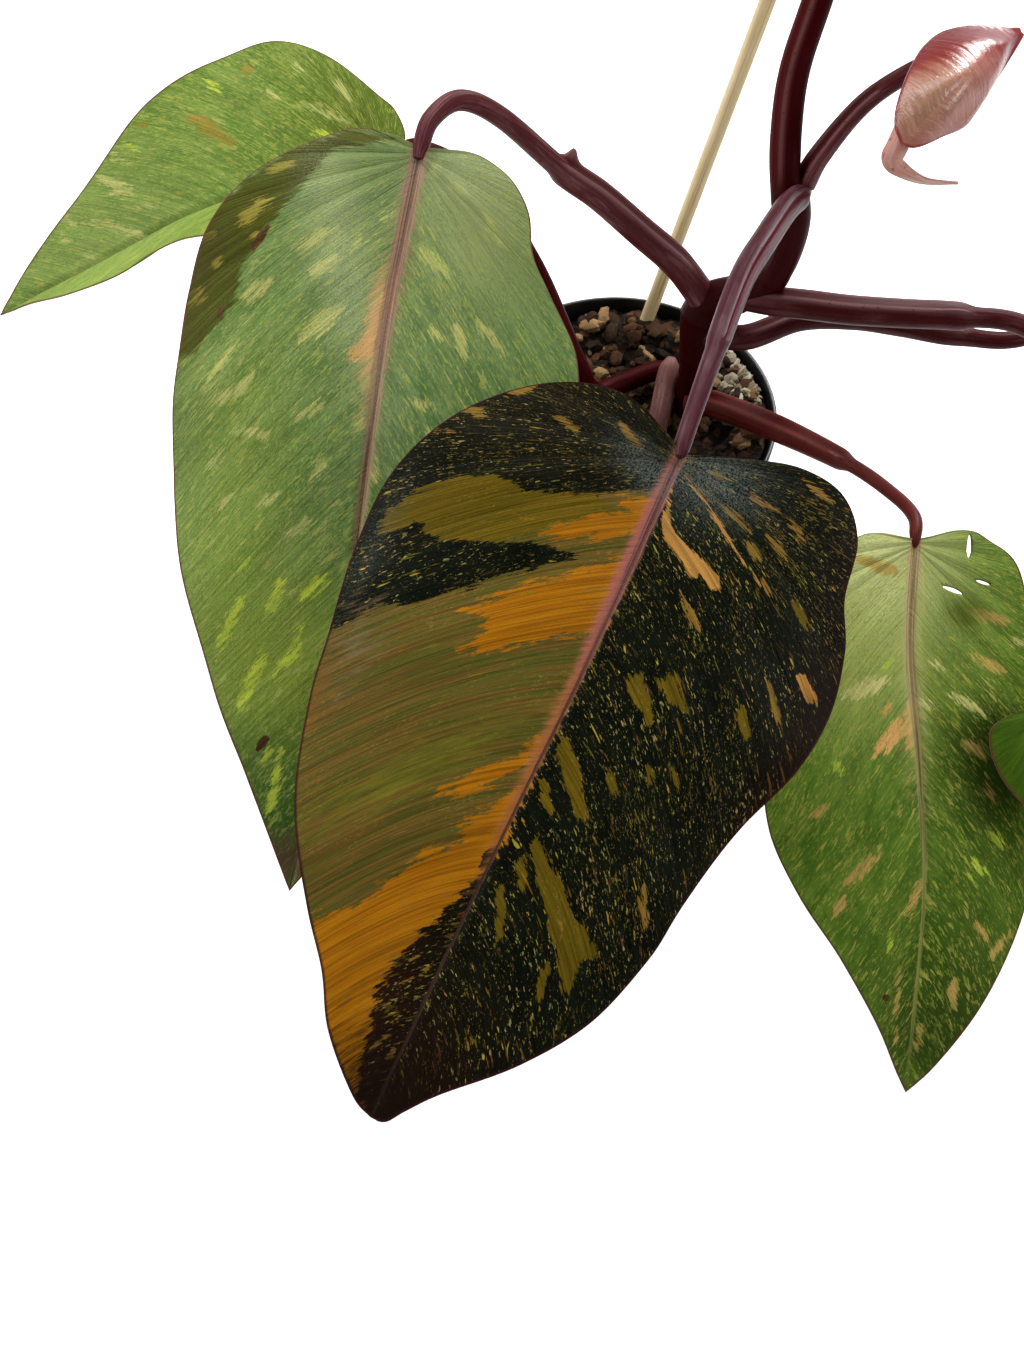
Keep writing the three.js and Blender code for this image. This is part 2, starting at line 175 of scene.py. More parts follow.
@dataclass(frozen=True)
class Patch:
    """Area of a blade with a drawn outline.

    Attributes:
        outline: Its corners as [along, across], in millimetres.
    """

    outline: tuple[tuple[float, float], ...]

    def depth(self, flat: Array) -> Array:
        """Distance inside the outline, negative outside.

        Args:
            flat: Points as [along, across].

        Returns:
            One distance for each point.
        """
        ends = np.array(self.outline, float)
        starts = np.roll(ends, 1, axis=0)
        nearest = np.full(len(flat), np.inf)
        inside = np.zeros(len(flat), bool)
        for start, end in zip(starts, ends):
            edge = end - start
            share = np.clip((flat - start) @ edge / (edge @ edge), 0, 1)
            nearest = np.minimum(nearest, np.linalg.norm(flat - start - share[:, None] * edge, axis=1))
            spans = (start[1] > flat[:, 1]) != (end[1] > flat[:, 1])
            height = edge[1] if edge[1] else 1.0
            crossing = start[0] + (flat[:, 1] - start[1]) / height * edge[0]
            inside ^= spans & (flat[:, 0] < crossing)
        return np.where(inside, nearest, -nearest)


@dataclass(frozen=True)
class Splash:
    """Slim mark between two places on a blade, widest in its middle.

    Attributes:
        start: Where it starts as [along, across], in millimetres.
        end: Where it ends.
        half_width: Half its width in the middle.
    """

    start: tuple[float, float]
    end: tuple[float, float]
    half_width: float

    SLIMMING = 0.55

    def depth(self, flat: Array) -> Array:
        """Distance inside the splash, negative outside.

        Args:
            flat: Points as [along, across].

        Returns:
            One distance for each point.
        """
        start = np.array(self.start, float)
        line = np.array(self.end, float) - start
        share = np.clip((flat - start) @ line / (line @ line), 0, 1)
        away = np.linalg.norm(flat - start - share[:, None] * line, axis=1)
        return self.half_width * (1 - self.SLIMMING * (2 * share - 1) ** 2) - away


@dataclass(frozen=True)
class Tint:
    """Soft area of a blade.

    Attributes:
        centre: Its middle as [along, across], in millimetres.
        reach: Distances from the middle at which it fades, along and across.
        strength: Strength in the middle.
        turn: Turn of the area, in degrees.
        half: The only half that it colours, or both.
    """

    centre: tuple[float, float]
    reach: tuple[float, float]
    strength: float = 1.0
    turn: float = 0.0
    half: Half | None = None

    def amount(self, flat: Array) -> Array:
        """Strength of the tint.

        Args:
            flat: Points as [along, across].

        Returns:
            One strength for each point.
        """
        c, s = math.cos(math.radians(self.turn)), math.sin(math.radians(self.turn))
        x, y = (flat - np.array(self.centre)).T
        far = ((c * x + s * y) / self.reach[0]) ** 2 + ((c * y - s * x) / self.reach[1]) ** 2
        amount = self.strength * np.exp(-far)
        if self.half is not None:
            amount = amount * (flat[:, 1] * self.half.value >= 0)
        return amount


@dataclass(frozen=True)
class Wash:
    """Colour laid softly over parts of a blade.

    Attributes:
        colour: The colour.
        tints: Where it lies.
        layer: What it covers.
    """

    colour: str
    tints: tuple[Tint, ...]
    layer: Layer = Layer.GROUND


@dataclass(frozen=True)
class Paint:
    """Look of one kind of marking.

    Attributes:
        first: One colour.
        second: Colour that it varies to along the veins.
        ragged: How far its edges stray along the veins, in millimetres.
        soft: Half width of its edge, in millimetres.
    """

    first: str
    second: str
    ragged: float = 1.0
    soft: float = 0.15


def patch(*outline: tuple[float, float]) -> Patch:
    """Patch from the corners of its outline."""
    return Patch(outline)


def splashes(*rows: tuple[float, float, float, float, float]) -> list[Splash]:
    """Splashes from rows of start, end and half width."""
    return [Splash(row[:2], row[2:4], row[4]) for row in rows]


Socket = bpy.types.NodeSocket
Value = float | str | Place | Socket


class Graph:
    """Node tree of one material, written as short calls.

    A colour may be given as a screen colour, in hexadecimal digits after a hash sign.
    """

    def __init__(self, name: str, colour: Value) -> None:
        """Starts a material with a surface shader.

        Args:
            name: Name of the material.
            colour: Its first colour, on which others are laid.
        """
        self.colour = colour
        self.material = bpy.data.materials.new(name)
        self.material.use_nodes = True
        self.tree = self.material.node_tree
        self.tree.nodes.clear()
        self.shader = self.node("ShaderNodeBsdfPrincipled")
        output = self.node("ShaderNodeOutputMaterial")
        self.tree.links.new(self.shader.outputs["BSDF"], output.inputs["Surface"])

    def feed(self, target: Socket, value: Value) -> None:
        """Links a socket to an input, or sets the input to a plain value.

        Args:
            target: The input.
            value: A socket, a number, coordinates or a colour.
        """
        if isinstance(value, bpy.types.NodeSocket):
            self.tree.links.new(value, target)
        else:
            target.default_value = linear(value) if isinstance(value, str) else value

    def node(self, kind: str, inputs: dict[str, Value] | None = None, **settings: str) -> bpy.types.Node:
        """Adds a node.

        Args:
            kind: Type of the node.
            inputs: What its inputs are fed with, by name.
            settings: Its settings, by name.

        Returns:
            The node.
        """
        made = self.tree.nodes.new(kind)
        for key, setting in settings.items():
            setattr(made, key, setting)
        for key, value in (inputs or {}).items():
            self.feed(made.inputs[key], value)
        return made

    def lay(self, colour: Value, share: Value) -> None:
        """Lays a colour over those laid so far."""
        self.colour = self.mix(self.colour, colour, share)

    def finish(
        self, roughness: Value, gloss: float, height: Socket | None = None, relief: float = 0.0
    ) -> bpy.types.Material:
        """Feeds the surface shader.

        Args:
            roughness: Roughness of the surface.
            gloss: Its specular level.
            height: Its fine relief, from 0 to 1.
            relief: What 1 stands for in it, in metres.

        Returns:
            The finished material.
        """
        inputs = {"Base Color": self.colour, "Roughness": roughness, "Specular IOR Level": gloss}
        if height is not None:
            bump = self.node("ShaderNodeBump", {"Distance": relief, "Height": height})
            inputs["Normal"] = bump.outputs["Normal"]
        for key, value in inputs.items():
            self.feed(self.shader.inputs[key], value)
        return self.material

    def attribute(self, name: str) -> Socket:
        """Number stored on the mesh under a name."""
        return self.node("ShaderNodeAttribute", attribute_name=name).outputs["Fac"]

    def chart(self, name: str) -> Socket:
        """Surface coordinates in millimetres."""
        return self.node("ShaderNodeUVMap", uv_map=name).outputs["UV"]

    def place(self) -> Socket:
        """Coordinates of the object, in metres."""
        return self.node("ShaderNodeTexCoord").outputs["Object"]

    def scaled(self, vector: Socket, sizes: Place, part: float) -> Socket:
        """Divides coordinates by feature sizes and moves them.

        Args:
            vector: The coordinates.
            sizes: Size of the pattern's features along each of them.
            part: Part of the pattern that they are moved to.

        Returns:
            Coordinates of a pattern with features of about one unit.
        """
        scale = [1 / size for size in (*sizes, 1.0)[:3]]
        inputs = {"Vector": vector, "Scale": scale, "Location": (part, 0.37 * part, 1.7 * part)}
        return self.node("ShaderNodeMapping", inputs, vector_type="POINT").outputs["Vector"]

    def noise(
        self, vector: Socket, sizes: Place, part: float, detail: float = 2.0, roughness: float = 0.5
    ) -> Socket:
        """Cloudy noise.

        Args:
            vector: Coordinates that it lies on.
            sizes: Size of its features along each of them.
            part: Part of the pattern.
            detail: Number of finer layers.
            roughness: Strength of the finer layers.

        Returns:
            The noise, mostly between 0.3 and 0.7.
        """
        inputs = {"Scale": 1.0, "Detail": detail, "Roughness": roughness}
        inputs["Vector"] = self.scaled(vector, sizes, part)
        return self.node("ShaderNodeTexNoise", inputs).outputs["Fac"]

    def cells(self, vector: Socket, sizes: Place, part: float) -> bpy.types.Node:
        """Cells of the sizes given, as for noise."""
        return self.node("ShaderNodeTexVoronoi", {"Vector": self.scaled(vector, sizes, part), "Scale": 1.0})

    def step(self, value: Value, low: float, high: float, top: float = 1.0) -> Socket:
        """Rises smoothly from 0 at low to top at high."""
        inputs = {"Value": value, "From Min": low, "From Max": high, "To Max": top}
        return self.node("ShaderNodeMapRange", inputs, interpolation_type="SMOOTHSTEP").outputs["Result"]

    def maths(self, operation: str, *terms: Value) -> Socket:
        """One arithmetic step.

        Args:
            operation: Name of the step.
            terms: What it works on.

        Returns:
            Its result.
        """
        made = self.node("ShaderNodeMath", operation=operation)
        for target, term in zip(made.inputs, terms):
            self.feed(target, term)
        return made.outputs["Value"]

    def times(self, first: Value, second: Value) -> Socket:
        """Product of two numbers."""
        return self.maths("MULTIPLY", first, second)

    def rest(self, share: Value) -> Socket:
        """What a share leaves of one."""
        return self.maths("SUBTRACT", 1.0, share)

    def between(self, low: Value, high: Value, share: Value, kind: str = "FLOAT") -> Socket:
        """Number between two others, or another kind of value."""
        inputs = {"Factor": share, "A": low, "B": high}
        return self.node("ShaderNodeMix", inputs, data_type=kind).outputs["Result"]

    def mix(self, first: Value, second: Value, share: Value) -> Socket:
        """Colour between two others."""
        return self.between(first, second, share, "RGBA")


@dataclass(frozen=True)
class Fleck:
    """Fine dashes that run along the side veins.

    Attributes:
        width: Size across the veins, in millimetres.
        length: Size along the veins, in millimetres.
        cut: Noise level above which a dash shows; a higher one leaves fewer.
        colours: Two colours that the dashes vary between.
        seed: Part of the pattern.
        strength: How strongly they cover.
    """

    width: float
    length: float
    cut: float
    colours: tuple[str, str]
    seed: float
    strength: float = 1.0


@dataclass(frozen=True)
class LeafFinish:
    """Waxy, variegated leaf surface.

    Attributes:
        name: Name of the material.
        ground: Two colours that the blade varies between.
        flecks: Fine dashes under the markings.
        veil: Fine dashes over the markings.
        tones: Look of each kind of marking.
        rib: Colours of the midrib at the base and at the tip.
        rib_width: Half widths of the coloured midrib at the base and at the tip, in millimetres.
        rim: Colour of the thin margin.
        under: Colour of the lower side.
        rib_run: Share of the midrib by which it has narrowed.
        rib_strength: How strongly the midrib's colour covers.
        groove: How dark the line in the middle of the midrib is.
        hatch: How dark the fine lines along the veins are.
        roughness: Roughness of the smooth wax.
        gloss: Specular level.
        relief: Height of the fine relief, in metres.
    """

    name: str
    ground: tuple[str, str]
    flecks: tuple[Fleck, ...]
    veil: tuple[Fleck, ...]
    tones: dict[Tone, Paint]
    rib: tuple[str, str]
    rib_width: tuple[float, float]
    rim: str
    under: str
    rib_run: float = 0.7
    rib_strength: float = 0.85
    groove: float = 0.4
    hatch: float = 0.2
    roughness: float = 0.42
    gloss: float = 0.12
    relief: float = 0.00022

    # Sizes of the patterns across and along the veins, in millimetres.
    CLOUD = (7, 16)
    CROWD = (14, 22)
    HUE = (9, 15)
    TEAR = (1.5, 7)
    THREAD = (1.6, 26)
    FEATHER = (1.3, 11)
    HATCH = (0.55, 38)
    LINES = (1, 34)
    # Sizes of the patterns along and across the blade, in millimetres.
    # Speckle that breaks up the painted sheen of the top layer.
    SPECKLE = (0.5, 0.5)
    GRAIN = (0.55, 0.55)
    WEAR = (11, 11)
    RIB_EDGE = (5, 1.1)
    RIB_STRIPES = (30, 0.45)
    # Brings the usual swing of the torn edges' noise to about one.
    TEAR_GAIN = 8
    RIB_SHADE = "#1a0d0e"
    HATCH_SHADE = "#000000"

    def _lay_flecks(self, graph: Graph, flecks: Sequence[Fleck]) -> None:
        """Lays dashes, denser in some places than in others.

        Args:
            graph: The material.
            flecks: The dashes.
        """
        veins = graph.chart("veins")
        for fleck in flecks:
            dashes = graph.noise(veins, (fleck.width, fleck.length), fleck.seed, 2.5, 0.6)
            crowd = graph.noise(veins, self.CROWD, fleck.seed + 3)
            level = graph.maths("ADD", dashes, graph.maths("MULTIPLY_ADD", crowd, 0.22, -0.11))
            shown = graph.step(level, fleck.cut, fleck.cut + 0.03, fleck.strength)
            hue = graph.noise(veins, self.HUE, fleck.seed + 7)
            graph.lay(graph.mix(*fleck.colours, graph.step(hue, 0.4, 0.6)), shown)

    def _lay_markings(self, graph: Graph, tones: Sequence[Tone]) -> None:
        """Lays the markings that the blade has, with edges torn along the veins.

        Args:
            graph: The material.
            tones: Their kinds, in the order of painting.
        """
        veins = graph.chart("veins")
        stray = graph.maths("SUBTRACT", graph.noise(veins, self.TEAR, 5.0, 5.0, 0.68), 0.5)
        thread = graph.step(graph.noise(veins, self.THREAD, 11.0, 3.0), 0.38, 0.62)
        for tone in tones:
            paint = self.tones[tone]
            reach = self.TEAR_GAIN * paint.ragged
            depth = graph.maths("MULTIPLY_ADD", stray, reach, graph.attribute(tone.value))
            colour = graph.mix(paint.first, paint.second, thread)
            graph.lay(colour, graph.step(depth, -paint.soft, paint.soft))

    def _lay_washes(self, graph: Graph, washes: Sequence[Wash], layer: Layer) -> None:
        """Lays the soft colours of one layer, feathered along the veins, or speckled in the top layer, which
        is mostly painted sheen.

        Args:
            graph: The material.
            washes: Soft colours of the blade.
            layer: The layer.
        """
        # Speckle for the top layer, which is mostly painted sheen.
        dust = graph.step(graph.noise(graph.chart("flat"), self.SPECKLE, 14.0, 2.0, 0.7), 0.35, 0.7)
        feather = graph.noise(graph.chart("veins"), self.FEATHER, 17.0, 4.0, 0.65)
        stray = graph.maths("SUBTRACT", feather, 0.5)
        for k, wash in enumerate(washes):
            if wash.layer is layer:
                amount = graph.attribute(f"wash_{k}")
                if layer is Layer.BLOOM:
                    amount = graph.times(amount, dust)
                if layer is Layer.GLAZE:
                    amount = graph.step(graph.maths("MULTIPLY_ADD", stray, 1.3, amount), 0.14, 0.92)
                graph.lay(wash.colour, amount)

    def _lay_rib(self, graph: Graph) -> None:
        """Lays the midrib's striped colour and the dark groove along it.

        Args:
            graph: The material.
        """
        flat = graph.chart("flat")
        rib, far = graph.attribute("rib"), graph.attribute("along")
        width = graph.between(*self.rib_width, graph.step(far, 0.0, self.rib_run))
        stray = graph.maths("SUBTRACT", graph.noise(flat, self.RIB_EDGE, 4.0, 3.0), 0.5)
        band = graph.maths("ADD", graph.maths("DIVIDE", rib, width), stray)
        shown = graph.times(graph.rest(graph.step(band, 0.55, 1.1)), self.rib_strength)
        shown = graph.times(shown, graph.rest(graph.step(far, 0.75, 1.0, 0.8)))
        colour = graph.mix(*self.rib, graph.step(far, 0.05, 0.75))
        stripes = graph.noise(flat, self.RIB_STRIPES, 12.0)
        graph.lay(graph.mix(colour, self.RIB_SHADE, graph.step(stripes, 0.48, 0.66, 0.55)), shown)
        groove = graph.rest(graph.step(rib, 0.2, 0.6))
        graph.lay(self.RIB_SHADE, graph.times(groove, self.groove))

    def material(self, tones: Sequence[Tone], washes: Sequence[Wash]) -> bpy.types.Material:
        """Builds the material for a blade.

        Args:
            tones: Markings that the blade carries.
            washes: Soft colours that it carries.

        Returns:
            The material.
        """
        graph = Graph(self.name, self.ground[0])
        veins, flat = graph.chart("veins"), graph.chart("flat")
        cloud = graph.noise(veins, self.CLOUD, 1.0, 6.0, 0.75)
        graph.lay(self.ground[1], graph.step(cloud, 0.36, 0.62))
        self._lay_washes(graph, washes, Layer.GROUND)
        self._lay_flecks(graph, self.flecks)
        self._lay_markings(graph, [tone for tone in Tone if tone in tones])
        self._lay_flecks(graph, self.veil)
        hatch = graph.noise(veins, self.HATCH, 2.0, 1.0)
        graph.lay(self.HATCH_SHADE, graph.step(hatch, 0.42, 0.64, self.hatch))
        self._lay_washes(graph, washes, Layer.GLAZE)
        self._lay_rib(graph)
        # Painted sheen over everything, speckled.
        self._lay_washes(graph, washes, Layer.BLOOM)
        rim = graph.rest(graph.step(graph.attribute("edge"), 0.35, 0.95))
        graph.lay(self.rim, graph.times(rim, 0.85))
        graph.lay(self.under, graph.times(graph.attribute("under"), 0.8))
        lines = graph.noise(veins, self.LINES, 8.0)
        height = graph.maths("MULTIPLY_ADD", graph.noise(flat, self.GRAIN, 6.0), 0.5, lines)
        wear = graph.noise(flat, self.WEAR, 9.0, 3.0)
        roughness = graph.between(self.roughness - 0.07, self.roughness + 0.1, wear)
        return graph.finish(roughness, self.gloss, height, self.relief)


@dataclass(frozen=True)
class StalkFinish:
    """Smooth, dusty skin of a petiole or stem.

    Attributes:
        name: Name of the material.
        deep: Dark colour of the skin.
        bloom: Pale dusty colour that streaks it.
        groove: Colour inside the sheath's channel.
        lip: Colour of the sheath's edges.
        dust: How much of the bloom shows.
        roughness: Roughness of the skin.
        gloss: Specular level.
    """

    name: str
    deep: str
    bloom: str
    groove: str
    lip: str
    dust: float = 0.35
    roughness: float = 0.38
    gloss: float = 0.12

    # Sizes of the patterns around and along the stalk, in millimetres.
    STREAK = (1.1, 24)
    CLOUD = (6, 14)
    SPECK = (0.7, 1.6)
    LINES = (0.5, 40)
    SPECK_SHADE = "#120506"
    RELIEF = 0.00015

    def material(self) -> bpy.types.Material:
        """Builds the material.

        Returns:
            The material.
        """
        graph = Graph(self.name, self.deep)
        skin = graph.chart("skin")
        streak = graph.noise(skin, self.STREAK, 1.0, 3.0, 0.6)
        cloud = graph.noise(skin, self.CLOUD, 2.0, 3.0)
        shown = graph.times(graph.step(streak, 0.42, 0.66), graph.step(cloud, 0.3, 0.65))
        graph.lay(self.bloom, graph.times(shown, self.dust))
        graph.lay(self.groove, graph.attribute("channel"))
        graph.lay(self.lip, graph.attribute("lip"))
        speck = graph.noise(skin, self.SPECK, 3.0, 1.0)
        graph.lay(self.SPECK_SHADE, graph.step(speck, 0.66, 0.72, 0.6))
        roughness = graph.between(self.roughness - 0.06, self.roughness + 0.12, cloud)
        return graph.finish(roughness, self.gloss, graph.noise(skin, self.LINES, 4.0, 1.0), self.RELIEF)


@dataclass(frozen=True)
class PotFinish:
    """Moulded black plastic, a little dusty and scuffed."""

    name: str = "pot_plastic"
    colour: str = "#0b0c0d"
    dust: str = "#3a352e"

    # Sizes of the patterns and of the relief, in metres.
    CLOUD = (0.03, 0.03, 0.02)
    SCUFF = (0.012, 0.012, 0.0015)
    GRAIN = (0.0009, 0.0009, 0.0009)
    RELIEF = 0.0001
    ROUGHNESS = (0.28, 0.48)
    GLOSS = 0.5

    def material(self) -> bpy.types.Material:
        """Builds the material.

        Returns:
            The material.
        """
        graph = Graph(self.name, self.colour)
        place = graph.place()
        cloud = graph.noise(place, self.CLOUD, 1.0, 4.0, 0.6)
        graph.lay(self.dust, graph.step(cloud, 0.5, 0.8, 0.16))
        roughness = graph.between(*self.ROUGHNESS, graph.noise(place, self.SCUFF, 2.0, 3.0))
        return graph.finish(roughness, self.GLOSS, graph.noise(place, self.GRAIN, 3.0, 1.0), self.RELIEF)


@dataclass(frozen=True)
class SoilFinish:
    """Damp bark mix."""

    name: str = "soil_mix"
    wet: str = "#150c07"
    dry: str = "#5a3d27"

    # Sizes of the patterns and of the relief, in metres.
    CRUMBS = (0.0032, 0.0032, 0.0032)
    CLOUD = (0.006, 0.006, 0.006)
    RELIEF = 0.0015
    ROUGHNESS = 0.92
    GLOSS = 0.12

    def material(self) -> bpy.types.Material:
        """Builds the material.

        Returns:
            The material.
        """
        graph = Graph(self.name, self.wet)
        place = graph.place()
        crumbs = graph.cells(place, self.CRUMBS, 1.0)
        cloud = graph.noise(place, self.CLOUD, 2.0, 5.0, 0.65)
        graph.lay(self.dry, graph.times(graph.step(crumbs.outputs["Color"], 0.55, 0.95), cloud))
        height = graph.maths("ADD", crumbs.outputs["Distance"], cloud)
        return graph.finish(self.ROUGHNESS, self.GLOSS, height, self.RELIEF)


@dataclass(frozen=True)
class ChipFinish:
    """Loose chips of bark, or of white volcanic grit.

    Attributes:
        name: Name of the material.
        colours: Colours from the darkest chip to the palest.
        grain: Size of the grain, in metres.
        roughness: Roughness of the chips.
        gloss: Specular level.
        shade: Colour in the grain.
    """

    name: str
    colours: tuple[str, str, str]
    grain: float
    roughness: float
    gloss: float = 0.12
    shade: str = "#0d0805"

    def material(self) -> bpy.types.Material:
        """Builds the material.

        Returns:
            The material.
        """
        dark, middle, pale = self.colours
        graph = Graph(self.name, dark)
        tone = graph.attribute("tone")
        fibre = graph.noise(graph.place(), (self.grain, self.grain, 3 * self.grain), 1.0, 4.0, 0.6)
        graph.lay(middle, graph.step(tone, 0.0, 0.72))
        graph.lay(pale, graph.step(tone, 0.76, 1.0))
        graph.lay(self.shade, graph.step(fibre, 0.52, 0.75, 0.6))
        return graph.finish(self.roughness, self.gloss, fibre, 0.5 * self.grain)


@dataclass(frozen=True)
class CaneFinish:
    """Split bamboo, pale with long fibres and clouds of painted glint."""

    name: str = "stake_bamboo"
    pale: str = "#c2ad84"
    fibre: str = "#a0865a"
    # Painted glint, laid in pale clouds along the cane.
    painted_glint: str = "#d4c4a0"

    # Sizes of the patterns around and along the cane, in millimetres.
    FIBRES = (0.45, 38)
    CLOUD = (3.5, 30)
    RELIEF = 0.0002
    ROUGHNESS = 0.55
    GLOSS = 0.4

    def material(self) -> bpy.types.Material:
        """Builds the material.

        Returns:
            The material.
        """
        graph = Graph(self.name, self.pale)
        skin = graph.chart("skin")
        fibres = graph.noise(skin, self.FIBRES, 1.0, 3.0, 0.6)
        graph.lay(self.fibre, graph.step(fibres, 0.45, 0.7))
        cloud = graph.noise(skin, self.CLOUD, 2.0)
        # Painted glint in soft pale clouds.
        graph.lay(self.painted_glint, graph.step(cloud, 0.5, 0.7, 0.6))
        return graph.finish(self.ROUGHNESS, self.GLOSS, fibres, self.RELIEF)


@dataclass
class Piece:
    """Mesh being put together.

    Attributes:
        name: Name of the piece.
        points: Its points, in metres.
        faces: Its faces as point numbers.
        numbers: Numbers on its points, by name.
        charts: Surface coordinates of its points or of its faces' corners, by name.
        sharp_angle: Angle from which an edge is sharp, in degrees.
    """

    name: str
    points: Array
    faces: list[tuple[int, ...]]
    numbers: dict[str, Array] = field(default_factory=dict)
    charts: dict[str, Array] = field(default_factory=dict)
    sharp_angle: float = 50.0

    def build(self, material: bpy.types.Material) -> bpy.types.Object:
        """Makes the object, smooth and with its material.

        Args:
            material: Finish of the whole piece.

        Returns:
            The object, linked to the scene.
        """
        mesh = bpy.data.meshes.new(self.name)
        mesh.from_pydata(self.points.tolist(), [], self.faces)
        for key, values in self.numbers.items():
            layer = mesh.attributes.new(key, "FLOAT", "POINT")
            layer.data.foreach_set("value", np.asarray(values, np.float32))
        corners = np.empty(len(mesh.loops), np.int32)
        mesh.loops.foreach_get("vertex_index", corners)
        for key, chart in self.charts.items():
            layer = mesh.uv_layers.new(name=key)
            spread = chart if len(chart) == len(corners) else chart[corners]
            layer.data.foreach_set("uv", spread.astype(np.float32).ravel())
        mesh.materials.append(material)
        mesh.shade_smooth()
        mesh.set_sharp_from_angle(angle=math.radians(self.sharp_angle))
        mesh.update()
        made = bpy.data.objects.new(self.name, mesh)
        bpy.context.scene.collection.objects.link(made)
        return made


def closed_rings(rings: int, sides: int, turned: bool = False) -> list[tuple[int, ...]]:
    """Faces of a solid made of rings of points, closed at both ends.

    Args:
        rings: Number of rings. Their points come first, then the middles of the two ends.
        sides: Points on each ring.
        turned: Whether the faces look the other way.

    Returns:
        Faces as point numbers.
    """
    ids = np.arange(rings * sides).reshape(rings, sides)
    after = np.roll(ids, -1, axis=1)
    quads = np.stack([ids[:-1], after[:-1], after[1:], ids[1:]], -1).reshape(-1, 4)
    first, last = ids.size, ids.size + 1
    faces = [
        *map(tuple, quads.tolist()),
        *((first, int(b), int(a)) for a, b in zip(ids[0], after[0])),
        *((last, int(a), int(b)) for a, b in zip(ids[-1], after[-1])),
    ]
    return [(face[0], *face[:0:-1]) for face in faces] if turned else faces


def cut_away(piece: bpy.types.Object, cutter: bpy.types.Object) -> None:
    """Cuts a solid out of a piece and throws the solid away.

    Args:
        piece: What is cut.
        cutter: The solid.
    """
    cut = piece.modifiers.new("cut", "BOOLEAN")
    cut.operation = "DIFFERENCE"
    cut.solver = "EXACT"
    cut.object = cutter
    bpy.context.view_layer.update()
    graph = bpy.context.evaluated_depsgraph_get()
    mesh = bpy.data.meshes.new_from_object(piece.evaluated_get(graph))
    piece.modifiers.clear()
    piece.data = mesh
    bpy.data.objects.remove(cutter)


def settle(piece: bpy.types.Object, slot: str, *nodes: str) -> None:
    """Fixes a piece to the plant in place of the solids that it stands for.

    Args:
        piece: The finished object.
        slot: Material slot of the record; not used.
        nodes: Solids that it replaces.
    """
    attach(piece, BODY)
    if nodes:
        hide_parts(*nodes)
    LOG.info("%s: %d faces", piece.name, len(piece.data.polygons))


